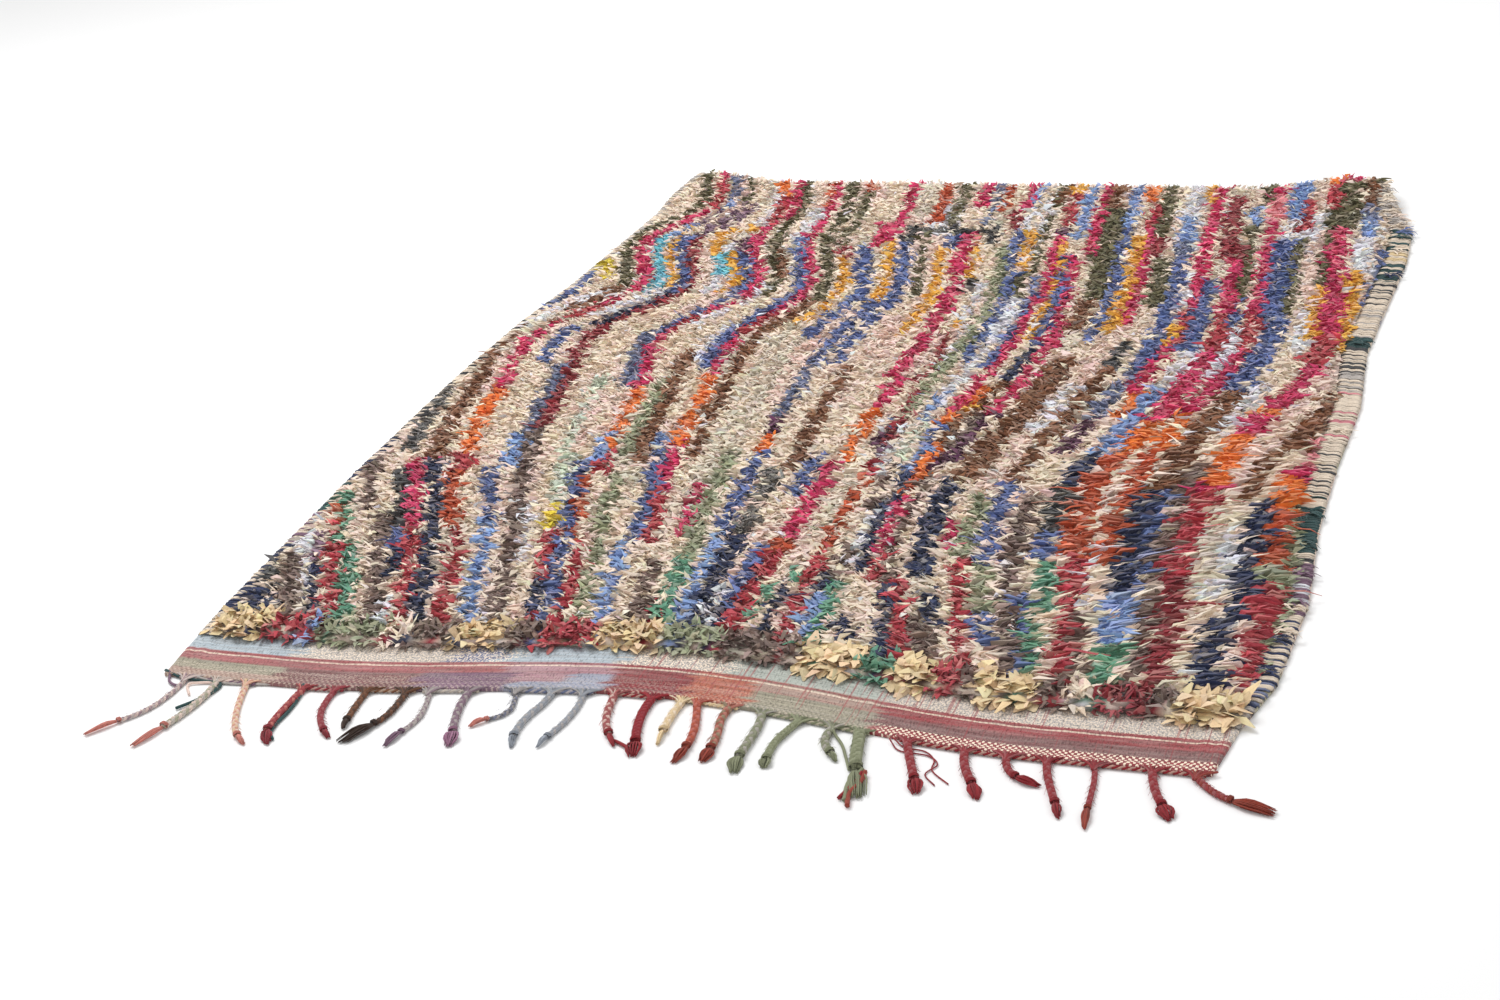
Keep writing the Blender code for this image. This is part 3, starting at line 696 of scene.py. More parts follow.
def slab_faces(rows, columns):
    """Faces of a closed slab: a grid for its top, the same below it, and the wall round its rim."""
    index = np.arange(rows * columns).reshape(rows, columns)
    top = np.stack((index[:-1, :-1], index[:-1, 1:], index[1:, 1:], index[1:, :-1]), axis=-1).reshape(-1, 4)
    under = top[:, ::-1] + rows * columns
    rim = np.concatenate((index[0, :-1], index[:-1, -1], index[-1, :0:-1], index[:0:-1, 0]))
    after = np.roll(rim, -1)
    wall = np.stack((rim, rim + rows * columns, after + rows * columns, after), axis=-1)
    return [np.concatenate((top, under, wall))]


def tube_arrays(paths, widths, heights, sides=5):
    """Closed tubes along many paths at once: an ellipse across each point, and a pole at each end.

    paths is tubes x points x 3, widths and heights are tubes x points, as full sizes.
    Returns points, faces and cloth lengths, which run round the tube and back, and along it.
    """
    count, steps = paths.shape[:2]
    along = np.gradient(paths, axis=1)
    along /= np.linalg.norm(along, axis=-1, keepdims=True) + 1e-9
    across = np.cross(along, (0.0, 0.0, 1.0))
    across /= np.linalg.norm(across, axis=-1, keepdims=True) + 1e-9
    upward = np.cross(across, along)
    turn = np.arange(sides) / sides
    cosine = np.cos(TURN * turn)[None, None, :, None]
    sine = np.sin(TURN * turn)[None, None, :, None]
    sideways = across[:, :, None] * cosine * widths[:, :, None, None]
    upright = upward[:, :, None] * sine * heights[:, :, None, None]
    rings = paths[:, :, None] + 0.5 * (sideways + upright)
    points = np.concatenate((rings.reshape(count, -1, 3), paths[:, :1], paths[:, -1:]), axis=1)
    distance = np.concatenate((np.zeros((count, 1)), np.cumsum(
        np.linalg.norm(np.diff(paths, axis=1), axis=-1), axis=1)), axis=1)
    around = np.abs(2.0 * turn - 1.0) * 1.5 * widths.mean()
    cloth = np.zeros(points.shape[:2] + (2,))
    cloth[:, :-2, 0] = np.tile(around, steps)
    cloth[:, :-2, 1] = np.repeat(distance, sides, axis=1)
    cloth[:, -1, 1] = distance[:, -1]
    size = steps * sides + 2
    ring = np.arange(steps * sides).reshape(steps, sides)
    beside = np.roll(ring, -1, axis=1)
    quads = np.stack((ring[:-1], beside[:-1], beside[1:], ring[1:]), axis=-1).reshape(-1, 4)
    first = np.stack((np.full(sides, size - 2), beside[0], ring[0]), axis=-1)
    last = np.stack((np.full(sides, size - 1), ring[-1], beside[-1]), axis=-1)
    caps = np.concatenate((first, last))
    shift = (np.arange(count) * size)[:, None, None]
    faces = [(quads + shift).reshape(-1, 4), (caps + shift).reshape(-1, 3)]
    return points, faces, cloth


def joined(parts):
    """Several sets of points, faces, colours and cloth lengths as one."""
    shift = 0
    points, colours, cloth, fours, threes = [], [], [], [], []
    for part_points, faces, part_colours, part_cloth in parts:
        points.append(part_points.reshape(-1, 3))
        colours.append(part_colours.reshape(-1, 4))
        cloth.append(part_cloth.reshape(-1, 2))
        fours.append(faces[0] + shift)
        threes.append(faces[1] + shift)
        shift += len(points[-1])
    faces = [np.concatenate(fours), np.concatenate(threes)]
    return np.concatenate(points), faces, np.concatenate(colours), np.concatenate(cloth)


# Materials


def fill_inputs(tree, inputs, values):
    """Inputs set to values or linked to sockets."""
    for name, value in values.items():
        if isinstance(value, bpy.types.NodeSocket):
            tree.links.new(value, inputs[name])
        else:
            inputs[name].default_value = value


def add_node(tree, kind, values=None, **settings):
    """A node with its settings and its inputs."""
    node = tree.nodes.new(kind)
    for name, setting in settings.items():
        setattr(node, name, setting)
    fill_inputs(tree, node.inputs, values or {})
    return node


def new_group(name, inputs, outputs):
    """An empty shader node group with named inputs and outputs."""
    tree = bpy.data.node_groups.new(name, "ShaderNodeTree")
    for label, kind, value in inputs:
        socket = tree.interface.new_socket(label, in_out="INPUT", socket_type=kind)
        if value is not None:
            socket.default_value = value
    for label, kind in outputs:
        tree.interface.new_socket(label, in_out="OUTPUT", socket_type=kind)
    return tree, tree.nodes.new("NodeGroupInput").outputs, tree.nodes.new("NodeGroupOutput").inputs


def math_node(tree, operation, first, second=0.0, third=0.0):
    """One step of arithmetic between sockets or numbers."""
    return add_node(tree, "ShaderNodeMath", {0: first, 1: second, 2: third}, operation=operation).outputs[0]


def mix_colour(tree, share, first, second):
    """Two colours mixed by a share."""
    node = add_node(tree, "ShaderNodeMix", data_type="RGBA")
    inputs = {item.identifier: item for item in node.inputs}
    fill_inputs(tree, inputs, {"Factor_Float": share, "A_Color": first, "B_Color": second})
    return next(item for item in node.outputs if item.identifier == "Result_Color")


def scaled(tree, vector, scale):
    """A colour or a place multiplied by a number."""
    return add_node(tree, "ShaderNodeVectorMath", {0: vector, "Scale": scale}, operation="SCALE").outputs[0]


# Noises over the cloth: how often each changes in a metre across and along, and its detail
NOISES = {
    "fibres": (1400.0, 160.0, 3.0),
    "threads": (320.0, 420.0, 2.0),
    "patches": (22.0, 22.0, 2.0),
    "wander": (26.0, 2.0, 2.0),
    "cotton": (400.0, 330.0, 1.0),
    "ticks": (520.0, 130.0, 2.0),
    "streaks": (9.0, 300.0, 3.0),
    "worn": (16.0, 150.0, 2.0),
    "red_warps": (300.0, 5.0, 1.0),
}


def cloth_noise(tree, lengths, name):
    """One of the noises over the cloth's lengths."""
    across, along, detail = NOISES[name]
    scale = (across, along, 1.0)
    placed = add_node(tree, "ShaderNodeMapping", {"Vector": lengths, "Scale": scale}).outputs[0]
    values = {"Vector": placed, "Scale": 1.0, "Detail": detail}
    return add_node(tree, "ShaderNodeTexNoise", values).outputs[0]


# Linear colour of the flecks in speckled rags
DARK_FLECK = (0.045, 0.045, 0.055, 1.0)


def fibre_group():
    """Torn rag or spun yarn: fine fibres along the cloth, worn paler and darker in patches, with flecks."""
    tree, given, result = new_group(
        "spun_fibres",
        (("Colour", "NodeSocketColor", None), ("Lengths", "NodeSocketVector", None),
         ("Fleck", "NodeSocketFloat", 0.0), ("Fineness", "NodeSocketFloat", 1.0)),
        (("Colour", "NodeSocketColor"), ("Roughness", "NodeSocketFloat"), ("Height", "NodeSocketFloat")))
    fine = scaled(tree, given["Lengths"], given["Fineness"])
    fibres = cloth_noise(tree, fine, "fibres")
    threads = cloth_noise(tree, fine, "threads")
    patches = cloth_noise(tree, given["Lengths"], "patches")
    pale = math_node(tree, "MULTIPLY_ADD", fibres, 0.34, 0.83)
    worn = math_node(tree, "MULTIPLY_ADD", patches, 0.24, 0.88)
    tone = math_node(tree, "MULTIPLY", pale, worn)
    toned = scaled(tree, given["Colour"], tone)
    fleck = math_node(tree, "GREATER_THAN", threads, 0.56)
    fleck = math_node(tree, "MULTIPLY", fleck, given["Fleck"])
    flecked = mix_colour(tree, fleck, toned, DARK_FLECK)
    tree.links.new(flecked, result["Colour"])
    tree.links.new(math_node(tree, "MULTIPLY_ADD", fibres, 0.14, 0.80), result["Roughness"])
    tree.links.new(math_node(tree, "MULTIPLY_ADD", threads, 0.5, fibres), result["Height"])
    return tree


def group_node(tree, group, values):
    """A node group placed in a material with its own values."""
    node = tree.nodes.new("ShaderNodeGroup")
    node.node_tree = group
    fill_inputs(tree, node.inputs, values)
    return node.outputs


def new_material(name, sheen):
    """An empty cloth material: its node tree and its shader."""
    material = bpy.data.materials.new(name)
    material.use_nodes = True
    shader = material.node_tree.nodes["Principled BSDF"]
    shader.inputs["Sheen Weight"].default_value = sheen
    shader.inputs["Sheen Roughness"].default_value = 0.6
    shader.inputs["Specular IOR Level"].default_value = 0.2
    return material, material.node_tree, shader


def finish_material(tree, shader, colour, roughness, height, strength, depth):
    """Colour, roughness and relief into the shader."""
    bump = add_node(tree, "ShaderNodeBump", {"Strength": strength, "Distance": depth, "Height": height})
    tree.links.new(colour, shader.inputs["Base Color"])
    tree.links.new(roughness, shader.inputs["Roughness"])
    tree.links.new(bump.outputs[0], shader.inputs["Normal"])


def rag_material(name, fibres, fineness, sheen, strength):
    """Cloth strip or yarn: the colour of its attribute, with fibres that follow its lengths."""
    material, tree, shader = new_material(name, sheen)
    attribute = add_node(tree, "ShaderNodeAttribute", attribute_name="rag_colour").outputs
    lengths = add_node(tree, "ShaderNodeUVMap", uv_map="cloth_lengths").outputs[0]
    fleck = math_node(tree, "SUBTRACT", 1.0, attribute["Alpha"])
    made = group_node(tree, fibres, {
        "Colour": attribute["Color"], "Lengths": lengths, "Fleck": fleck, "Fineness": fineness})
    finish_material(tree, shader, made["Colour"], made["Roughness"], made["Height"], strength, 0.0012)
    return material


# End band's lines: share of the ramp's depth, colour, how much the line covers the zone's colour
RAMP_DEPTH = 0.11
LINE_RAMP = (
    (0.000, "dusk", 0.0),
    (0.365, "garnet", 0.30),
    (0.400, "dusk", 0.0),
    (0.520, "cream", 0.85),
    (0.548, "dusk", 0.0),
    (0.560, "garnet", 0.80),
    (0.595, "dusk", 0.0),
)
WARP_PITCH = 0.0070
WEFT_PITCH = 0.0084
HEM_DEPTH = 0.022
# Red warps that show through the band: where they start along the hem
RED_WARPS_START = 0.57


def ground_material(fibres):
    """Flat weave: wefts over warps, the end band's lines and its flecked hem."""
    material, tree, shader = new_material("flat_weave", 0.04)
    lengths = add_node(tree, "ShaderNodeUVMap", uv_map="cloth_lengths").outputs[0]
    zone = add_node(tree, "ShaderNodeAttribute", attribute_name="rag_colour").outputs
    parts = add_node(tree, "ShaderNodeSeparateXYZ", {0: lengths}).outputs
    wander = math_node(tree, "MULTIPLY", cloth_noise(tree, lengths, "wander"), 0.005)
    along = math_node(tree, "ADD", parts["Y"], math_node(tree, "SUBTRACT", wander, 0.0025))
    warps = math_node(tree, "SINE", math_node(tree, "MULTIPLY", parts["X"], TURN / WARP_PITCH))
    wefts = math_node(tree, "SINE", math_node(tree, "MULTIPLY", along, TURN / WEFT_PITCH))
    crossing = math_node(tree, "MULTIPLY", warps, wefts)
    cotton = cloth_noise(tree, lengths, "cotton")
    hem = math_node(tree, "LESS_THAN", along, HEM_DEPTH)
    regular = math_node(tree, "MULTIPLY", crossing, math_node(tree, "MULTIPLY", hem, 0.50))
    needed = math_node(tree, "MULTIPLY_ADD", hem, 0.07, 0.52)
    flecks = math_node(tree, "GREATER_THAN", math_node(tree, "ADD", regular, cotton), needed)
    ticks = math_node(tree, "GREATER_THAN", cloth_noise(tree, lengths, "ticks"), 0.58)
    lines = add_node(tree, "ShaderNodeValToRGB", {0: math_node(tree, "DIVIDE", along, RAMP_DEPTH)})
    fill_ramp(lines, LINE_RAMP)
    amount = math_node(tree, "SUBTRACT", 1.0, zone["Alpha"])
    flecked = math_node(tree, "MULTIPLY", flecks, amount)
    streaks = cloth_noise(tree, lengths, "streaks")
    worn = cloth_noise(tree, lengths, "worn")
    between = math_node(tree, "MULTIPLY_ADD", warps, 0.18, 0.82)
    cover = math_node(tree, "MULTIPLY", lines.outputs["Alpha"], between)
    base = mix_colour(tree, cover, zone["Color"], lines.outputs["Color"])
    dusty = math_node(tree, "MULTIPLY_ADD", worn, 0.9, -0.38)
    dusted = mix_colour(tree, dusty, base, (*linear("dust"), 1.0))
    tone = math_node(tree, "MULTIPLY_ADD", streaks, 1.1, 0.36)
    tone = math_node(tree, "MULTIPLY", tone, math_node(tree, "MULTIPLY_ADD", ticks, -0.38, 1.0))
    dotted = mix_colour(tree, flecked, scaled(tree, dusted, tone), (*linear("cream"), 1.0))
    strands = math_node(tree, "GREATER_THAN", cloth_noise(tree, lengths, "red_warps"), 0.64)
    right_half = math_node(tree, "GREATER_THAN", parts["X"], RED_WARPS_START)
    strands = math_node(tree, "MULTIPLY", strands, right_half)
    strands = math_node(tree, "MULTIPLY", strands, math_node(tree, "LESS_THAN", along, PILE_START))
    colour = mix_colour(tree, math_node(tree, "MULTIPLY", strands, 0.55), dotted, (*linear("garnet"), 1.0))
    made = group_node(tree, fibres, {"Colour": colour, "Lengths": lengths, "Fleck": 0.0, "Fineness": 0.7})
    height = math_node(tree, "MULTIPLY_ADD", crossing, 0.5, made["Height"])
    finish_material(tree, shader, made["Colour"], made["Roughness"], height, 0.7, 0.0008)
    return material


def fill_ramp(node, stops):
    """Stops of a ramp with hard borders: a colour, and how much of what is under it it covers."""
    ramp = node.color_ramp
    ramp.interpolation = "CONSTANT"
    while len(ramp.elements) < len(stops):
        ramp.elements.new(0.5)
    for element, (place, name, cover) in zip(ramp.elements, stops):
        element.position = place
        element.color = (*linear(name), cover)


# Camera, light and floor


def make_camera():
    """The photograph's view: place, and the directions right, up and ahead."""
    data = bpy.data.cameras.new("camera")
    data.sensor_width = 36.0
    data.lens = 56.98
    data.clip_end = 100.0
    camera = bpy.data.objects.new("camera", data)
    right = (0.93960, 0.32889, -0.09475)
    up = (-0.05761, 0.42486, 0.90343)
    ahead = (-0.33738, 0.84340, -0.41814)
    place = (1.02826, -3.14596, 1.36846)
    turned = Matrix((right, up, [-part for part in ahead])).transposed().to_4x4()
    camera.matrix_world = Matrix.Translation(place) @ turned
    bpy.context.scene.collection.objects.link(camera)
    bpy.context.scene.camera = camera


def make_studio():
    """A pale floor under a bright even sky, with one large soft light from the upper left."""
    material = bpy.data.materials.new("pale_floor")
    material.use_nodes = True
    shader = material.node_tree.nodes["Principled BSDF"]
    shader.inputs["Base Color"].default_value = (0.90, 0.90, 0.90, 1.0)
    shader.inputs["Roughness"].default_value = 0.9
    shader.inputs["Specular IOR Level"].default_value = 0.1
    half = 20.0
    depth = -0.0006
    corners = [(-half, -half, depth), (half, -half, depth), (half, half, depth), (-half, half, depth)]
    mesh = bpy.data.meshes.new("floor")
    mesh.from_pydata(corners, [], [(0, 1, 2, 3)])
    mesh.materials.append(material)
    floor = bpy.data.objects.new("floor", mesh)
    bpy.context.scene.collection.objects.link(floor)
    world = bpy.data.worlds.new("studio")
    world.use_nodes = True
    background = world.node_tree.nodes["Background"]
    background.inputs["Color"].default_value = (1.0, 1.0, 1.0, 1.0)
    background.inputs["Strength"].default_value = 0.80
    bpy.context.scene.world = world
    light = bpy.data.lights.new("soft_box", "AREA")
    light.shape = "DISK"
    light.size = 2.4
    light.energy = 95.0
    lamp = bpy.data.objects.new("soft_box", light)
    lamp.location = (-1.6, 0.6, 3.2)
    lamp.rotation_euler = (math.radians(-10.0), math.radians(-27.0), 0.0)
    bpy.context.scene.collection.objects.link(lamp)
    bpy.context.scene.view_settings.view_transform = "Standard"


# The woven ground


def colour_rows(names):
    """Linear colours of a list of names, one row each."""
    return np.array([linear(name) for name in names])


# Zones of the end band's wefts: each runs up to its distance along the hem
UPPER_ZONES = (
    (0.15, "mist"), (0.35, "dust"), (0.41, "slate"), (0.57, "mist"), (0.70, "dust"), (0.91, "frost"),
    (1.40, "dust"),
)
MIDDLE_ZONES = (
    (0.43, "dusk"), (0.57, "petal"), (0.67, "claret"), (0.75, "clay"), (0.91, "fawn"), (1.40, "garnet"),
)
LOWER_ZONES = (
    (0.15, "lichen"), (0.33, "heather"), (0.45, "mauve"), (0.52, "petal"), (0.57, "haze"), (0.67, "claret"),
    (0.75, "clay"), (0.91, "lichen"), (1.40, "heather"),
)
HEM_ZONES = (
    (0.15, "fawn"), (0.33, "heather"), (0.45, "mauve"), (0.57, "haze"), (0.67, "claret"), (0.75, "clay"),
    (0.91, "lichen"), (1.40, "garnet"),
)
# Where each row of zones starts, as a distance from the hem
ZONE_STARTS = (0.0, 0.020, 0.042, 0.068)
# How thickly cream warps fleck the band: along the hem from and to, away from it from and to, amount
FLECKED = (
    (-0.10, 0.92, 0.000, 0.008, 0.35),
    (0.92, 1.40, 0.000, 0.022, 1.00),
    (0.00, 0.33, 0.010, 0.034, 0.25),
    (0.33, 0.92, 0.008, 0.034, 0.15),
    (0.14, 0.43, 0.068, 0.110, 0.75),
    (0.57, 0.71, 0.066, 0.110, 0.85),
    (0.92, 1.40, 0.066, 0.110, 0.65),
)
FLECK_FLOOR = 0.05
# Rows of points of the ground: in the end band and beyond it, and points between the corded edges
BAND_ROWS = 25
FAR_ROWS = 66
GROUND_COLUMNS = 110
# How far the cloth lies under the wraps, how uneven it is, how much of a knot's colour shows at its foot
UNDER_WRAPS = 0.0012
UNEVENNESS = 0.00012
KNOT_SHARE = 0.65


def zone_colours(x, zones):
    """Colours along a row of named zones, each up to its own end."""
    pick = np.searchsorted([zone[0] for zone in zones], x)
    return colour_rows([zone[1] for zone in zones])[np.minimum(pick, len(zones) - 1)]


def band_colours(x, y, rng):
    """Colours and flecks of the end band: the row of zones by depth, then the zone, whose ends interlock."""
    step = np.searchsorted(ZONE_STARTS, y, side="right") - 1
    shift = rng.normal(0.0, 0.007, 60)[np.round(y / 0.003).astype(int) % 60]
    rows = (HEM_ZONES, LOWER_ZONES, MIDDLE_ZONES, UPPER_ZONES)
    shades = np.array([zone_colours(x + shift, zones) for zones in rows])
    colours = shades[step, np.arange(len(x))]
    amount = np.full(len(x), FLECK_FLOOR)
    for left, right, near, far, share in FLECKED:
        inside = (x + shift >= left) & (x + shift < right) & (y >= near) & (y < far)
        amount[inside] = share
    return colours, amount


def make_ground(material, rng):
    """The woven ground: height by the band's ribs and the selvedges' cords, lifted at the far corners."""
    band = np.array(END_BAND)
    band_rows = np.unique(np.concatenate((band[:, 0], np.linspace(0.0, PILE_START, BAND_ROWS))).round(4))
    far_rows = np.linspace(PILE_START + 0.008, RUG_LENGTH, FAR_ROWS)
    rows = np.concatenate((band_rows, far_rows))
    inset = np.array([cord[0] for cord in EDGE_CORDS])
    cords = np.array([cord[1] for cord in EDGE_CORDS])
    left, right = selvedge(rows)
    shares = np.linspace(0.0, 1.0, GROUND_COLUMNS)
    across = (left + EDGE_WIDTH)[:, None] * (1.0 - shares) + (right - EDGE_WIDTH)[:, None] * shares
    x = np.concatenate((left[:, None] + inset, across, right[:, None] - inset[::-1]), axis=1)
    y = np.repeat(rows[:, None], x.shape[1], axis=1)
    ribs = np.interp(band_rows, band[:, 0], band[:, 1])
    heights = np.concatenate((ribs, np.full(len(far_rows), CLOTH_THICKNESS)))
    top = np.repeat(heights[:, None], x.shape[1], axis=1)
    count = len(inset)
    top[:, :count] = np.maximum(top[:, :count], cords - UNDER_WRAPS)
    top[:, -count:] = np.maximum(top[:, -count:], cords[::-1] - UNDER_WRAPS)
    top += rng.uniform(-UNEVENNESS, UNEVENNESS, top.shape)
    loom_y = drawn_in(x, y)
    lift = corner_lift(x, loom_y)
    points = slab_points(x, loom_y, top + lift, lift)
    flat_x = x.ravel()
    flat_y = y.ravel()
    colours, amount = band_colours(flat_x, flat_y, rng)
    knots, _ = rag_colours(flat_x, loom_y.ravel(), rng)
    backs = colour_rows(COLOURS)[knots] * KNOT_SHARE + linear("cream") * (1.0 - KNOT_SHARE)
    piled = smooth((flat_y - PILE_START) / 0.006)[:, None]
    colours = colours * (1.0 - piled) + backs * piled
    colours = np.concatenate((colours, (1.0 - amount * (1.0 - piled[:, 0]))[:, None]), axis=1)
    cloth = np.stack((flat_x, flat_y), axis=-1)
    return mesh_piece("ground_weave_cloth", points, slab_faces(*x.shape), material,
                      np.concatenate((colours, colours)), np.concatenate((cloth, cloth)))


# The rag pile


def rag_directions(heading, roll):
    """Directions of each rag: out along it, level across it, and across it as its roll tilts it."""
    level = np.zeros(len(heading))
    out = np.stack((np.cos(heading), np.sin(heading), level), axis=-1)
    across = np.stack((-np.sin(heading), np.cos(heading), level), axis=-1)
    tilt = across * np.cos(roll)[:, None]
    tilt[:, 2] += np.sin(roll)
    return out, across, tilt


def rag_surface(tone, speck, painted_shading, width, length, across, along):
    """Colours and cloth lengths of rags, from each point's painted shading and its shares across and along.
    """
    count = len(tone)
    colours = np.ones((count, len(painted_shading), 4))
    colours[..., :3] = tone[:, None] * painted_shading[None, :, None]
    colours[..., 3] = 1.0 - speck[:, None]
    cloth = np.stack((np.array(across) * width[:, None], np.array(along) * length[:, None]), axis=-1)
    cloth += (np.arange(count)[:, None] * np.array(CLOTH_STEP) % 1.0)[:, None]
    return colours, cloth


def leaf_arrays(root, heading, rise, droop, length, width, tone, roll, speck, sections, thickness, crumple,
                rng):
    """Rag strips, each a folded leaf: three-sided sections along an arc, closed at both ends.

    A section lies at a share of the length along an arc that leaves the root at the angle rise
    and falls by droop on its way, then moves a little at random, as cloth crumples. Its corners
    are the leaf's two edges and the fold's ridge.
    """
    count = len(heading)
    shares = np.array([section[0] for section in sections])
    sizes = np.array([section[1] for section in sections])
    rings = len(sizes)
    angle = rise[:, None] - droop[:, None] * shares
    step = np.diff(shares)
    middle = 0.5 * (angle[:, 1:] + angle[:, :-1])
    still = np.zeros((count, 1))
    reach = np.concatenate((still, np.cumsum(np.cos(middle) * step, axis=1)), axis=1) * length[:, None]
    height = np.concatenate((still, np.cumsum(np.sin(middle) * step, axis=1)), axis=1) * length[:, None]
    out, across, tilt = rag_directions(heading, roll)
    centre = root[:, None] + out[:, None] * reach[..., None]
    centre[..., 2] += height
    sway = np.sin(2.5 * shares) * 0.16 * roll[:, None] * length[:, None]
    centre += across[:, None] * sway[..., None]
    centre[:, 1:] += rng.normal(0.0, crumple, (count, rings - 1, 3))
    upward = np.cross(out, tilt)
    half = 0.5 * width[:, None, None] * sizes[None, :, None]
    left = centre - tilt[:, None] * half
    right = centre + tilt[:, None] * half
    fold = centre + upward[:, None] * half * 2.0 * thickness
    fold = fold + tilt[:, None] * half * 0.5 * roll[:, None, None]
    points = kept_in_pile(np.stack((left, right, fold), axis=2).reshape(count, -1, 3))
    ring = np.arange(rings * 3).reshape(rings, 3)
    beside_ring = np.roll(ring, -1, axis=1)
    quads = np.stack((ring[:-1], beside_ring[:-1], beside_ring[1:], ring[1:]), axis=-1).reshape(-1, 4)
    ends = np.array((ring[0, ::-1], ring[-1]))
    shift = (np.arange(count) * rings * 3)[:, None, None]
    faces = [(quads + shift).reshape(-1, 4), (ends + shift).reshape(-1, 3)]
    # Painted shade at the root, where the leaves shade each other, rising to painted light at the tip
    painted_shading = np.repeat(PAINTED_ROOT_SHADE + (PAINTED_TIP_LIGHT - PAINTED_ROOT_SHADE) * shares ** 0.6, 3)
    edges_and_fold = np.tile((0.0, 1.0, 0.5), rings)
    along = np.repeat(shares, 3)
    return points, faces, *rag_surface(tone, speck, painted_shading, width, length, edges_and_fold, along)


def kept_in_pile(points):
    """Points held over the cloth, its wrapped edges or the floor, and under the pile's greatest height.

    A point past a limit is folded back by a small share of what it passed.
    """
    x = points[..., 0] + MIDDLE[0]
    y = points[..., 1] + MIDDLE[1]
    left, right = selvedge(y)
    inset = np.minimum(x - left, right - x)
    over_cloth = np.where(inset < WRAPPED_WIDTH, WRAPS_TOP, CLOTH_TOP)
    on_cloth = (inset > -0.001) & (y > hem_bow(x)) & (y < RUG_LENGTH)
    lift = corner_lift(x, y)
    lowest = lift + np.where(on_cloth, over_cloth, 0.0010)
    highest = lift * PILE_LIFT + PILE_TOP
    z = points[..., 2]
    z = np.where(z < lowest, lowest + FOLD_BACK * (lowest - z), z)
    points[..., 2] = np.where(z > highest, highest - FOLD_BACK * (z - highest), z)
    return points


def scrap_arrays(root, heading, rise, droop, length, width, tone, roll, speck, rng):
    """Small torn scraps, each closed by four faces: a root, two side corners and a tip.

    The side corners lie where the scrap bends from the angle rise to the angle rise less droop,
    so it is folded across its top and along its underside. Every corner moves a little at random.
    """
    count = len(heading)
    out, _, tilt = rag_directions(heading, roll)
    bend = rise - droop
    middle = root + (out * np.cos(rise)[:, None]) * (SCRAP_BEND * length)[:, None]
    middle[:, 2] += np.sin(rise) * SCRAP_BEND * length
    tip = middle + (out * np.cos(bend)[:, None]) * ((1.0 - SCRAP_BEND) * length)[:, None]
    tip[:, 2] += np.sin(bend) * (1.0 - SCRAP_BEND) * length
    half = 0.5 * width[:, None]
    slip = out * (SCRAP_SLIP * rng.normal(0.0, 1.0, count) * length)[:, None]
    points = np.stack((root, middle - tilt * half + slip, middle + tilt * half - slip, tip), axis=1)
    points[:, 1:] += rng.normal(0.0, CRUMPLE, (count, 3, 3))
    points = kept_in_pile(points)
    faces = np.repeat(np.array(((0, 2, 1), (1, 2, 3), (0, 1, 3), (0, 3, 2)))[None], count, axis=0)
    edges = points[:, 1:] - points[:, :1]
    inside_out = np.einsum("ij,ij->i", edges[:, 0], np.cross(edges[:, 1], edges[:, 2])) < 0.0
    faces[inside_out] = faces[inside_out, :, ::-1]
    faces = (faces + (np.arange(count) * 4)[:, None, None]).reshape(-1, 3)
    # Painted shade at the root and the side corners, painted light at the tip
    painted_shading = np.array((PAINTED_ROOT_SHADE, PAINTED_MIDDLE_SHADE, PAINTED_MIDDLE_SHADE, PAINTED_TIP_LIGHT))
    return points, [faces], *rag_surface(tone, speck, painted_shading, width, length, SCRAP_ACROSS, SCRAP_ALONG)


def add_rags(name, arrays, material):
    """One piece of the pile from the points, faces, colours and cloth lengths of its rags."""
    points, faces, colours, cloth = arrays
    PILE.append(mesh_piece(
        name, points, faces, material, colours.reshape(-1, 4), cloth.reshape(-1, 2), smooth_faces=False))


# Knots: how far from the pile's start and the rug's ends their rows lie, how far from the edges
# they lie, and how far over the right edge they reach at the far end and by the hem
FIRST_ROW = 0.056
LAST_ROW = 0.010
LEFT_INSET = 0.032
FAR_REACH = 0.018
HEM_REACH = 0.015
# The pile is combed to the right from this distance across, over this width, and most by the hem,
# up to this distance from it, fading over that one
COMBED_FROM = 0.88
COMBED_OVER = 0.26
NEAR_UP_TO = 0.62
NEAR_OVER = 0.42
# Rags by an edge lie differently, over this width
EDGE_OVER = 0.030


def knot_places(rng):
    """Places of the knots: rows across the rug, every other row shifted, none beyond the pile's edge."""
    rows = np.arange(PILE_START + FIRST_ROW, RUG_LENGTH - LAST_ROW, ROW_PITCH)
    places = []
    for number, y in enumerate(rows):
        left, right = selvedge(y)
        edge = EDGE_WIDTH - FAR_REACH * smooth((y - 1.84) / 0.06) - HEM_REACH * smooth((0.62 - y) / 0.08)
        x = np.arange(left + LEFT_INSET + 0.5 * KNOT_PITCH * (number % 2), right - edge, KNOT_PITCH)
        x = x[y >= drawn_in(x, PILE_START + 0.052)]
        places.append(np.stack((x, np.full(len(x), y)), axis=-1))
    places = np.concatenate(places)
    places[:, 0] += rng.normal(0.0, 0.0018, len(places))
    return places[:, 0], places[:, 1]


def toned_down(tone):
    """Colours no brighter than worn cloth, with their hue kept."""
    return tone * np.minimum(1.0, TONE_LIMIT / tone.max(axis=-1, keepdims=True))


def worn_tones(colour, rng):
    """Linear colour of each rag, brighter or darker, faded or tinted by its own wear."""
    tone = colour_rows(COLOURS)[colour]
    count = len(colour)
    bright = np.exp(rng.normal(0.0, 0.09, (count, 1)))
    faded = rng.uniform(0.0, 1.0, (count, 1)) ** 5 * 0.26
    tint = np.exp(rng.normal(0.0, 0.035, (count, 3)))
    return toned_down((tone * (1.0 - faded) + linear("cream") * faded) * bright * tint)


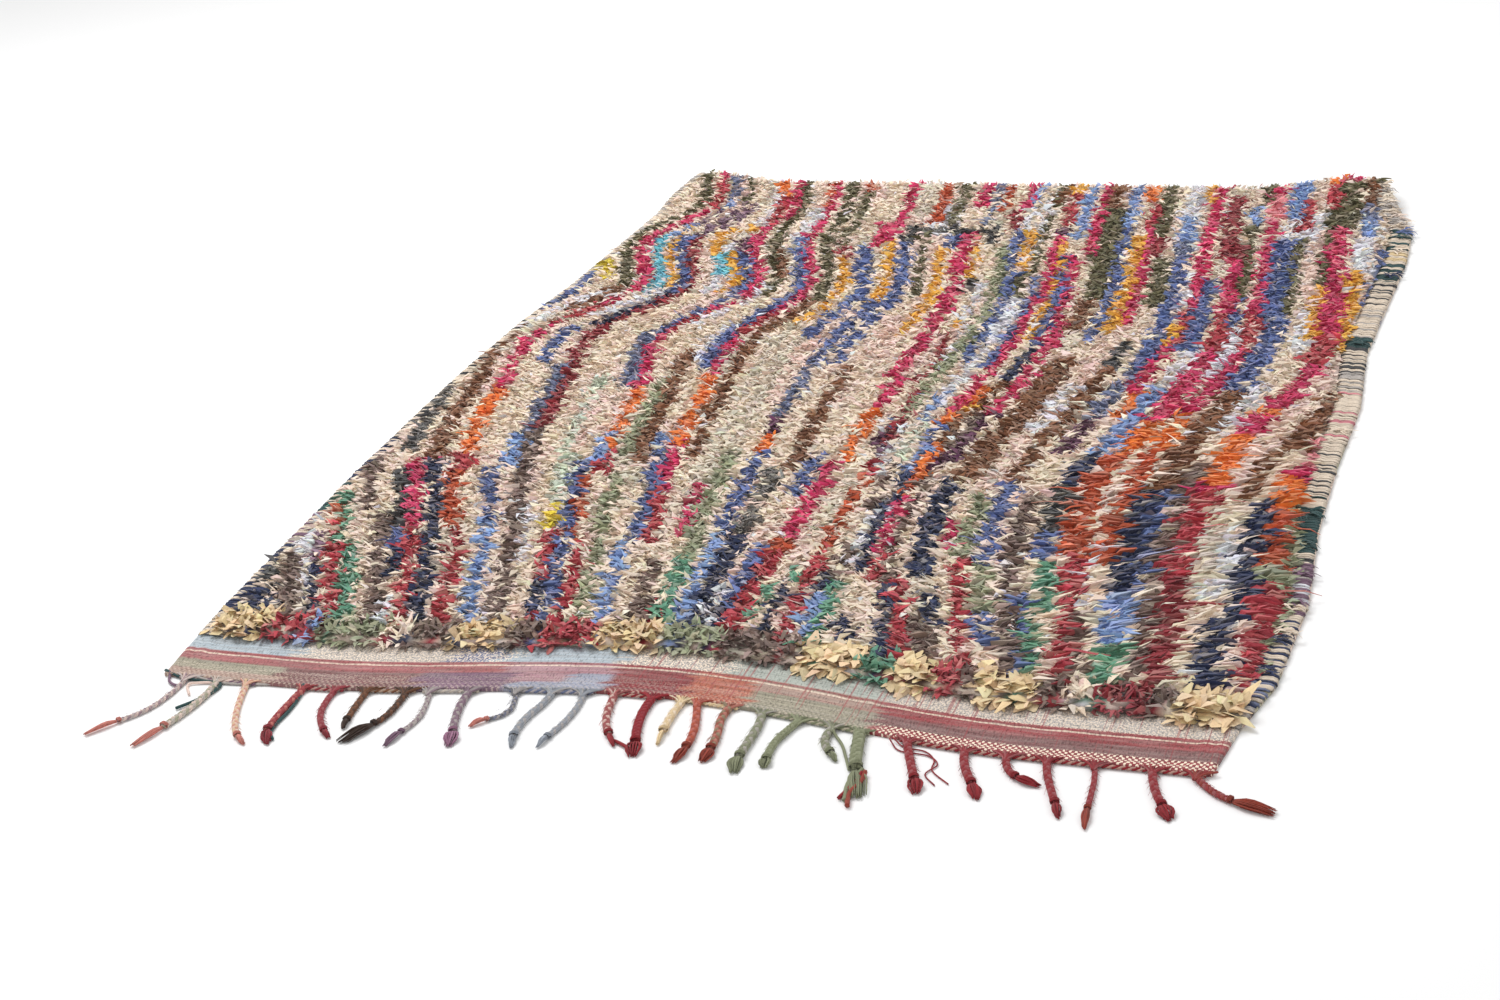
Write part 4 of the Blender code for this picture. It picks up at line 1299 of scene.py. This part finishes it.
def make_pile(material, rng):
    """Leaves of every knot: their lean, length and width change over the rug, as its pile lies."""
    knot_x, knot_y = knot_places(rng)
    names = list(COLOURS)
    knots = len(knot_x)
    knot = np.repeat(np.arange(knots), LEAVES_PER_KNOT)
    count = len(knot)
    x = knot_x[knot] + rng.uniform(-0.0035, 0.0035, count)
    row_y = knot_y[knot]
    y = row_y + rng.uniform(-0.0085, 0.0085, count)
    left, right = selvedge(y)
    near = 1.0 - smooth((y - NEAR_UP_TO) / NEAR_OVER)
    combed = smooth((x - COMBED_FROM) / COMBED_OVER) * (0.08 + 0.92 * near)
    at_left = smooth(1.0 - (x - left - 0.030) / EDGE_OVER)
    at_right = smooth(1.0 - (right - 0.036 - x) / EDGE_OVER)
    at_far = smooth(1.0 - (RUG_LENGTH - 0.012 - y) / EDGE_OVER)
    to_right = 0.46 + 0.46 * combed - 0.10 * smooth((0.35 - x) / 0.3)
    to_right = np.where(at_left > 0.4, 0.25, np.where(at_right > 0.4, 0.40, to_right))
    side = rng.uniform(0.0, 1.0, count) < to_right
    tuft = 2 * knot + side
    tuft_turn = rng.normal(0.0, 1.0, 2 * knots)[tuft] * (0.36 - 0.14 * combed)
    lean = np.where(side, -1.0, 1.0) * smooth((0.60 - x) / 0.5) * 0.25
    facing = np.where(side, 0.42 * combed, 0.5 * TURN) + lean + tuft_turn
    far = np.minimum(1.0, at_far * 1.4)
    to_far = rng.uniform(0.0, 1.0, 2 * knots)[tuft] < 0.7 * far
    facing = np.where(to_far, 0.25 * TURN + tuft_turn, facing)
    heading = facing + rng.normal(0.0, 1.0, count) * (0.29 - 0.13 * combed)
    reach = RAG_LENGTH + 0.016 * combed + 0.001 * near
    reach *= 1.0 + 0.15 * at_left * ~side - 0.50 * at_right * side - 0.32 * far
    length = reach * np.exp(rng.normal(0.0, 0.20, count))
    width = (RAG_WIDTH + 0.0006 * near - 0.0010 * combed) * np.exp(rng.normal(0.0, 0.22, count))
    rise = 44.0 - 15.0 * combed - 8.0 * at_left - 8.0 * at_right - 12.0 * far
    rise = np.radians(rise + rng.normal(0.0, 11.0, count))
    droop = 40.0 + 8.0 * combed + 14.0 * at_left + 14.0 * at_right
    droop = np.radians(droop + rng.normal(0.0, 12.0, count))
    tooth = TOOTH * np.where(np.round(row_y / ROW_PITCH) % 2 == 0, 1.0, -1.0)
    stray = rng.normal(0.0, STRAY, knots)[knot]
    shown = SHOWN_SHARE * reach
    shown_x = knot_x[knot] + tooth + stray + shown * np.cos(facing)
    kind, striped = rag_colours(shown_x, row_y + 0.5 * shown * np.sin(facing), rng)
    loose = rng.uniform(0.0, 1.0, count)
    pale = np.array([names.index(name) for name in PALE_RAGS])[rng.integers(0, len(PALE_RAGS), count)]
    kind = np.where(loose < np.where(striped, *LOOSE_SHARES), pale, kind)
    speckle = kind == names.index("speckle")
    charcoal = kind == names.index("charcoal")
    tuft_tone = np.exp(rng.normal(0.0, 0.12, 2 * knots))[tuft]
    z = KNOT_HEIGHT + rng.uniform(-0.003, 0.002, count) - 0.002 * np.maximum(at_left, at_right)
    z += PILE_LIFT * corner_lift(x, y)
    parts = {
        "root": on_floor(x, y, z), "heading": heading, "rise": rise, "droop": droop,
        "length": length, "width": width, "tone": toned_down(worn_tones(kind, rng) * tuft_tone[:, None]),
        "roll": rng.normal(0.0, 0.40, count),
        "speck": np.where(speckle, 0.9, np.where(charcoal, 0.3, 0.0)),
    }
    families = {
        "pile_cream": ("cream", "straw"),
        "pile_blush": ("blush", "pink", "shell", "salmon"),
        "pile_mint": ("mint", "milk", "oat", "sage", "mustard", "yellow"),
        "pile_brown": ("taupe", "brown", "olive", "charcoal", "speckle"),
        "pile_red": ("rose", "red", "wine", "rust", "orange", "plum", "mauve"),
        "pile_blue": ("blue", "sky", "slate", "navy", "teal", "green", "turquoise"),
    }
    for name, members in families.items():
        pick = np.isin(kind, [names.index(member) for member in members])
        scraps = {key: value[pick] for key, value in parts.items()}
        add_rags(name, scrap_arrays(**scraps, rng=rng), material)
    pick = rng.uniform(0.0, 1.0, count) < LONG_SHARE
    strips = {key: value[pick] for key, value in parts.items()}
    strips["length"] = strips["length"] * rng.uniform(1.2, 1.7, pick.sum())
    strips["width"] = strips["width"] * 0.70
    strips["rise"] = strips["rise"] * 0.9
    add_rags("pile_long_strips", leaf_arrays(**strips, **LEAF_SHAPE, rng=rng), material)


def make_edge_tufts(material, rng):
    """Bunches of narrow rag ends that come out over the right selvedge."""
    count = len(EDGE_TUFTS) * TUFT_STRIPS
    middle = np.repeat([tuft[0] for tuft in EDGE_TUFTS], TUFT_STRIPS)
    y = middle + rng.normal(0.0, 0.0045, count)
    x = selvedge(y)[1] - rng.uniform(0.010, 0.030, count)
    tones = np.repeat(colour_rows([tuft[1] for tuft in EDGE_TUFTS]), TUFT_STRIPS, axis=0)
    parts = {
        "root": on_floor(x, y, 0.0085 + PILE_LIFT * corner_lift(x, y)),
        "heading": rng.normal(-0.15, 0.45, count), "rise": np.radians(rng.normal(26.0, 10.0, count)),
        "droop": np.radians(rng.normal(62.0, 12.0, count)),
        "length": rng.uniform(0.014, 0.027, count), "width": rng.uniform(0.0026, 0.0042, count),
        "tone": toned_down(tones * np.exp(rng.normal(0.0, 0.12, (count, 1)))),
        "roll": rng.normal(0.0, 0.4, count), "speck": np.zeros(count),
    }
    add_rags("pile_edge_tufts", leaf_arrays(**parts, **LEAF_SHAPE, rng=rng), material)


def make_near_tufts(material, rng):
    """The first row of knots: blocks of wide thin petals of rag, crowded on end beside each other."""
    names = list(COLOURS)
    x = np.repeat(np.arange(0.004, 1.312, PETAL_PITCH), PETAL_ROWS)
    count = len(x)
    x = x + rng.uniform(-0.004, 0.004, count)
    row = np.tile(np.arange(PETAL_ROWS), count // PETAL_ROWS)
    depth = PILE_START + 0.006 + 0.0100 * row + rng.uniform(-0.004, 0.004, count)
    y = drawn_in(x, depth)
    heading = rng.uniform(0.0, TURN, count)
    heading = np.where(row == 0, -0.25 * TURN + rng.normal(0.0, 0.70, count), heading)
    shown = x + 0.012 * np.cos(heading)
    block = np.searchsorted([tuft[0] for tuft in NEAR_TUFTS], shown, side="right")
    kind = np.array([names.index(tuft[1]) for tuft in NEAR_TUFTS])[block]
    starry = (kind == names.index("straw")) & (x > 0.75)
    ruffled = kind == names.index("straw")
    length = np.where(starry, 0.025, np.where(row == 0, 0.017, 0.019)) * np.exp(rng.normal(0.0, 0.15, count))
    width = np.where(starry, 0.0135, np.where(ruffled, 0.0105, 0.0068)) * np.exp(rng.normal(0.0, 0.20, count))
    rise = np.radians(np.where(row == 0, 34.0, 50.0) - 14.0 * starry + rng.normal(0.0, 12.0, count))
    droop = np.radians(36.0 + rng.normal(0.0, 12.0, count))
    z = np.where(row == 0, 0.006, 0.008) + rng.uniform(-0.002, 0.002, count)
    parts = {
        "root": on_floor(x, y, z), "heading": heading, "rise": rise, "droop": droop,
        "length": length, "width": width, "tone": worn_tones(kind, rng),
        "roll": rng.normal(0.0, 0.35, count), "speck": np.zeros(count),
    }
    add_rags("pile_near_tufts", leaf_arrays(**parts, **PETAL_SHAPE, rng=rng), material)


# Bed: rows and columns of points, height, how far it rolls and how rough it is, its painted shade
BED_ROWS = 136
BED_COLUMNS = 80
BED_HEIGHT = 0.0060
BED_ROLL = 0.0015
BED_ROUGHNESS = 0.0012
PAINTED_BED_SHADE = 0.80


def make_pile_bed(material, rng):
    """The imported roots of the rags: a slab whose top rolls with every row of knots."""
    rows = np.linspace(PILE_START + 0.004, RUG_LENGTH - 0.008, BED_ROWS)
    left, right = selvedge(rows)
    shares = np.linspace(0.0, 1.0, BED_COLUMNS)
    x = (left + WRAPPED_WIDTH)[:, None] * (1.0 - shares) + (right - WRAPPED_WIDTH)[:, None] * shares
    y = drawn_in(x, np.repeat(rows[:, None], x.shape[1], axis=1))
    foot = CLOTH_THICKNESS + GAP
    roll = BED_ROLL * np.cos(TURN * y / (3.0 * ROW_PITCH))
    edge = np.minimum(np.minimum(shares, 1.0 - shares) * 40.0, 1.0)[None, :]
    rough = rng.uniform(-BED_ROUGHNESS, BED_ROUGHNESS, x.shape)
    top = foot + (BED_HEIGHT + roll + rough) * (0.4 + 0.6 * edge)
    lift = PILE_LIFT * corner_lift(x, y)
    points = slab_points(x, y, top + lift, foot + lift)
    kind, _ = rag_colours(x.ravel(), y.ravel(), rng)
    colours = np.ones((x.size, 4))
    # Painted shade: the bed's colours are darkened so that the gaps between the rags look deep
    colours[:, :3] = worn_tones(kind, rng) * PAINTED_BED_SHADE
    cloth = np.stack((x.ravel(), y.ravel()), axis=-1)
    piece = mesh_piece("pile_bed", points, slab_faces(*x.shape), material,
                       np.concatenate((colours, colours)), np.concatenate((cloth, cloth)))
    PILE.append(piece)
    return piece


# Selvedges and fringe


def make_wraps(name, table, right_side, material, rng):
    """Wefts turned round the edge cords: one flat loop for each pitch along a selvedge."""
    y = np.arange(WRAPS_START, RUG_LENGTH - 0.003, WRAP_PITCH)
    y = y + rng.normal(0.0, 0.0008, len(y))
    way = np.array(WRAP_WAY)
    left, right = selvedge(y)
    inset = way[:, 0] + rng.normal(0.0, 0.0007, (len(y), 1))
    x = right[:, None] - inset if right_side else left[:, None] + inset
    slant = (way[:, 0] - 0.018) * rng.normal(0.10, 0.06, (len(y), 1))
    rows = drawn_in(x, y[:, None] + slant)
    z = way[:, 1] + corner_lift(x, rows)
    paths = on_floor(x, rows, z)
    widths = np.full(x.shape, WRAP_FULLNESS * WRAP_PITCH) * rng.uniform(0.80, 1.20, (len(y), 1))
    heights = np.full(x.shape, WRAP_THICKNESS)
    heights[:, -2:] = WRAP_THIN_END
    points, faces, cloth = tube_arrays(paths, widths, heights, 4)
    ends = [row[0] for row in table]
    stretch = np.minimum(np.searchsorted(ends, y), len(table) - 1)
    first = colour_rows([table[part][1] for part in stretch])
    second = colour_rows([table[part][2] for part in stretch])
    beat = np.cumsum(1.0 / np.where(y < BEAT_CHANGE, *WRAP_BEATS)) + rng.normal(0.0, 0.13, len(y))
    other = beat % 1.0 < np.array([table[part][3] for part in stretch])
    tone = np.where(other[:, None], second, first) * np.exp(rng.normal(0.0, 0.12, (len(y), 1)))
    colours = np.ones(points.shape[:2] + (4,))
    colours[..., :3] = toned_down(tone)[:, None]
    piece = mesh_piece(name, points, faces, material, colours.reshape(-1, 4), cloth)
    TRIM.append(piece)


def yarn_arrays(paths, widths, heights, tones, sides=5):
    """Closed yarns along many paths, each in its own colour."""
    points, faces, cloth = tube_arrays(paths, widths, heights, sides)
    colours = np.ones(points.shape[:2] + (4,))
    colours[..., :3] = tones[:, None]
    return points, faces, colours, cloth


def braid_way(start, headings, length, count):
    """Points and headings along a braid that leaves the hem and bends over the floor."""
    share = np.linspace(0.0, 1.0, count + 1)
    heading = np.radians(np.interp(share, np.linspace(0.0, 1.0, len(headings)), headings))
    middle = 0.5 * (heading[1:] + heading[:-1])
    step = length / count
    x = start[0] + np.concatenate(([0.0], np.cumsum(np.sin(middle)))) * step
    y = start[1] - np.concatenate(([0.0], np.cumsum(np.cos(middle)))) * step
    return x, y, heading


def beside(x, y, heading, aside, z):
    """Points moved aside from a way by a distance across it, at a height."""
    return on_floor(x + aside * np.cos(heading), y + aside * np.sin(heading), z)


def fuzz_arrays(x, y, heading, width, tone, neck, rng):
    """Loose hairs of a braid: each leaves one side of the braid, aslant, and bends down to the floor."""
    spot = rng.integers(2, neck, FUZZ_HAIRS)
    side = np.where(rng.uniform(0.0, 1.0, FUZZ_HAIRS) < 0.5, -1.0, 1.0)
    reach = FUZZ_LENGTH * rng.uniform(0.4, 1.0, (FUZZ_HAIRS, 1))
    share = np.array((0.0, 0.5, 1.0))
    away = side[:, None] * (0.30 * width + reach * share)
    slide = reach * share * rng.normal(0.5, 0.6, (FUZZ_HAIRS, 1))
    route_x = x[spot][:, None] + slide * np.sin(heading[spot])[:, None]
    route_y = y[spot][:, None] - slide * np.cos(heading[spot])[:, None]
    z = 0.55 * width * (1.0 - 0.7 * share ** 2) + 0.0008 * rng.normal(0.0, 1.0, (FUZZ_HAIRS, 1)) ** 2
    paths = beside(route_x, route_y, heading[spot][:, None], away, z)
    size = np.full((FUZZ_HAIRS, 3), FUZZ_WIDTH) * (1.0, 0.9, 0.6)
    tones = tone * np.exp(rng.normal(0.1, 0.15, (FUZZ_HAIRS, 1)))
    return yarn_arrays(paths, size, size, tones, 3)


def braid_parts(row, rng):
    """One braid: three plaited strands, the wrapped neck, the tassel's yarns and the gather at its root.

    A strand swings aside with the sine of the plait's turn and up with the sine of twice that turn.
    A tassel's yarn keeps its own place in the tassel's round section, which swells and closes again.
    """
    place, *headings, length, width, tassel_length, tassel_width, yarns = row
    tones = colour_rows(yarns.split())
    tones[:3] = (1.0 - YARN_BLEND) * tones[:3] + YARN_BLEND * tones[:3].mean(axis=0)
    parts = []
    start = (place, hem_bow(place) - GAP - BACKING_DEPTH)
    count = BRAID_STEPS
    x, y, heading = braid_way(start, headings, length, count)
    distance = np.linspace(0.0, length, count + 1)
    neck = int(round(count * (1.0 - tassel_length / length)))
    turn = TURN * distance / (PLAIT_PITCH * width)
    paths = []
    for strand in range(3):
        angle = turn + TURN * strand / 3.0
        aside = PLAIT_SWING * width * np.sin(angle)
        lift = width * (0.5 * STRAND_HEIGHT + PLAIT_LIFT * (1.0 + np.sin(2.0 * angle)))
        paths.append(beside(x, y, heading, aside, lift)[: neck + 2])
    paths = np.array(paths)
    size = np.ones(paths.shape[:2]) * width
    parts.append(yarn_arrays(paths, STRAND_WIDTH * size, STRAND_HEIGHT * size, tones[:3], 5))
    ring = np.linspace(0.0, NECK_TURNS * TURN, NECK_POINTS)
    centre = np.full(len(ring), neck)
    slide = np.linspace(-0.0022, 0.0022, len(ring))
    neck_width = 0.50 * width
    wrap_x = x[centre] + slide * np.sin(heading[centre])
    wrap_y = y[centre] - slide * np.cos(heading[centre])
    wrap_z = 0.36 * width * (1.0 + np.sin(ring)) + 0.0011
    wrap = beside(wrap_x, wrap_y, heading[centre], neck_width * np.cos(ring), wrap_z)
    size = np.full((1, len(ring)), NECK_YARN)
    parts.append(yarn_arrays(wrap[None], size, size, tones[3:4] * 0.9, 4))
    share = np.linspace(0.0, 1.0, TASSEL_STEPS)
    spots = np.linspace(neck, count, TASSEL_STEPS).round().astype(int)
    brush = tassel_length >= BRUSH_LENGTH
    tip = BRUSH_TIP if brush else BUD_TIP
    swell = np.maximum(np.sin(0.5 * TURN * share ** TASSEL_FULLNESS) ** 0.8, tip * smooth(1.6 * share))
    swell = swell + 0.18 * (1.0 - share)
    angle = rng.uniform(0.0, TURN, TASSEL_YARNS)
    away = np.sqrt(rng.uniform(0.0, 1.0, TASSEL_YARNS))
    reach = rng.uniform(0.88 if brush else 0.80, 1.0, TASSEL_YARNS)
    aside = 0.46 * (tassel_width - TASSEL_YARN_WIDTH) * away * np.cos(angle)
    upward = 0.5 * (1.0 + away * np.sin(angle))
    fall = 1.0 - 0.45 * share ** 3
    z = 0.0009 + (TASSEL_HEIGHT - 0.0020) * upward[:, None] * np.minimum(swell, 1.0) * fall
    z += 0.0010 * (1.0 - share)
    sideways = aside[:, None] * swell + 0.0006 * rng.normal(0.0, 1.0, (TASSEL_YARNS, 1)) * share
    way_x = x[neck] + (x[spots] - x[neck]) * reach[:, None]
    way_y = y[neck] + (y[spots] - y[neck]) * reach[:, None]
    paths = beside(way_x, way_y, heading[spots], sideways, z)
    taper = TASSEL_YARN_WIDTH * (1.0 - 0.55 * share ** 3)
    size = np.repeat(taper[None], TASSEL_YARNS, axis=0) * rng.uniform(0.8, 1.2, (TASSEL_YARNS, 1))
    mixed = tones[3] * np.exp(rng.normal(0.0, 0.16, (TASSEL_YARNS, 1)))
    parts.append(yarn_arrays(paths, size, 0.8 * size, mixed, 4))
    parts.append(fuzz_arrays(x, y, heading, width, tones[:3].mean(axis=0), neck, rng))
    share = np.linspace(0.0, 1.0, 7)
    offset = np.linspace(-1.0, 1.0, GATHER_YARNS) * GATHER_REACH * rng.uniform(0.7, 1.1, GATHER_YARNS)
    draw = 1.0 - smooth(share)
    x = place + offset[:, None] * (0.06 + 0.94 * draw ** 1.4)
    y = hem_bow(x) + 0.0045 - (0.0065 + 0.014 * smooth((share - 0.35) / 0.65)) * np.minimum(2.2 * share, 1.0)
    z = 0.0040 + 0.0012 * np.sin(0.5 * TURN * share)
    size = np.full(x.shape, 0.0026) * rng.uniform(0.7, 1.2, (GATHER_YARNS, 1))
    picked = tones[rng.integers(0, 3, GATHER_YARNS)] * np.exp(rng.normal(0.0, 0.12, (GATHER_YARNS, 1)))
    parts.append(yarn_arrays(on_floor(x, y, z), size, size, picked, 4))
    return parts


def hem_cord(rows, rng):
    """The two-ply cord of warp ends along the hem, over the braids of one piece."""
    start = rows[0][0] - 0.010
    end = rows[-1][0] + 0.010
    x = np.linspace(start, end, max(16, int((end - start) / 0.0026)))
    turn = TURN * x / 0.011
    paths = []
    for ply in (0.0, 0.5 * TURN):
        y = hem_bow(x) - 0.0032 + 0.0013 * np.sin(turn + ply)
        paths.append(on_floor(x, y, 0.0026 + 0.0011 * np.cos(turn + ply)))
    size = np.full((2, len(x)), 0.0030)
    tones = np.repeat(colour_rows([rows[0][-1].split()[0]]), 2, axis=0)
    tones[1] = 0.6 * tones[1] + 0.4 * linear("cream")
    return yarn_arrays(np.array(paths), size, size, tones, 5)


def make_fringe(name, rows, material, rng):
    """All yarns of one fringe piece, in place of its solid."""
    parts = [hem_cord(rows, rng)]
    for row in rows:
        parts += braid_parts(row, rng)
    for holder, yarn_name, thickness, way in LOOSE_CORDS:
        if holder != name:
            continue
        marks = np.linspace(0.0, 1.0, len(way))
        route = curve_through(np.linspace(0.0, 1.0, CORD_POINTS), marks, np.array(way))
        z = np.full(CORD_POINTS, 0.55 * thickness)
        z[:CORD_FALL] = np.linspace(CORD_START_HEIGHT, 0.55 * thickness, CORD_FALL)
        size = np.full((1, CORD_POINTS), thickness)
        path = on_floor(route[:, 0], route[:, 1], z)[None]
        parts.append(yarn_arrays(path, size, size, colour_rows([yarn_name])))
    points, faces, colours, cloth = joined(parts)
    piece = mesh_piece(name.replace("fringe", "braids"), points, faces, material, colours, cloth)
    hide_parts(name)
    TRIM.append(piece)


make_camera()
make_studio()
generator = np.random.default_rng(11)
spun_fibres = fibre_group()
rag = rag_material("rag_strips", spun_fibres, 1.0, 0.20, 0.8)
yarn = rag_material("spun_yarn", spun_fibres, 1.6, 0.12, 0.9)
ground = make_ground(ground_material(spun_fibres), generator)
bed = make_pile_bed(rag, generator)
make_pile(rag, generator)
make_near_tufts(rag, generator)
make_edge_tufts(rag, generator)
make_wraps("left_wraps", LEFT_WRAPS, False, yarn, generator)
make_wraps("right_wraps", RIGHT_WRAPS, True, yarn, generator)
for fringe_name, braids in FRINGE.items():
    make_fringe(fringe_name, braids, yarn, generator)

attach(ground, "root")
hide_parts("ground_weave")
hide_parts("rag_pile")
for piece in PILE:
    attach(piece, "root")
for piece in TRIM:
    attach(piece, "root")
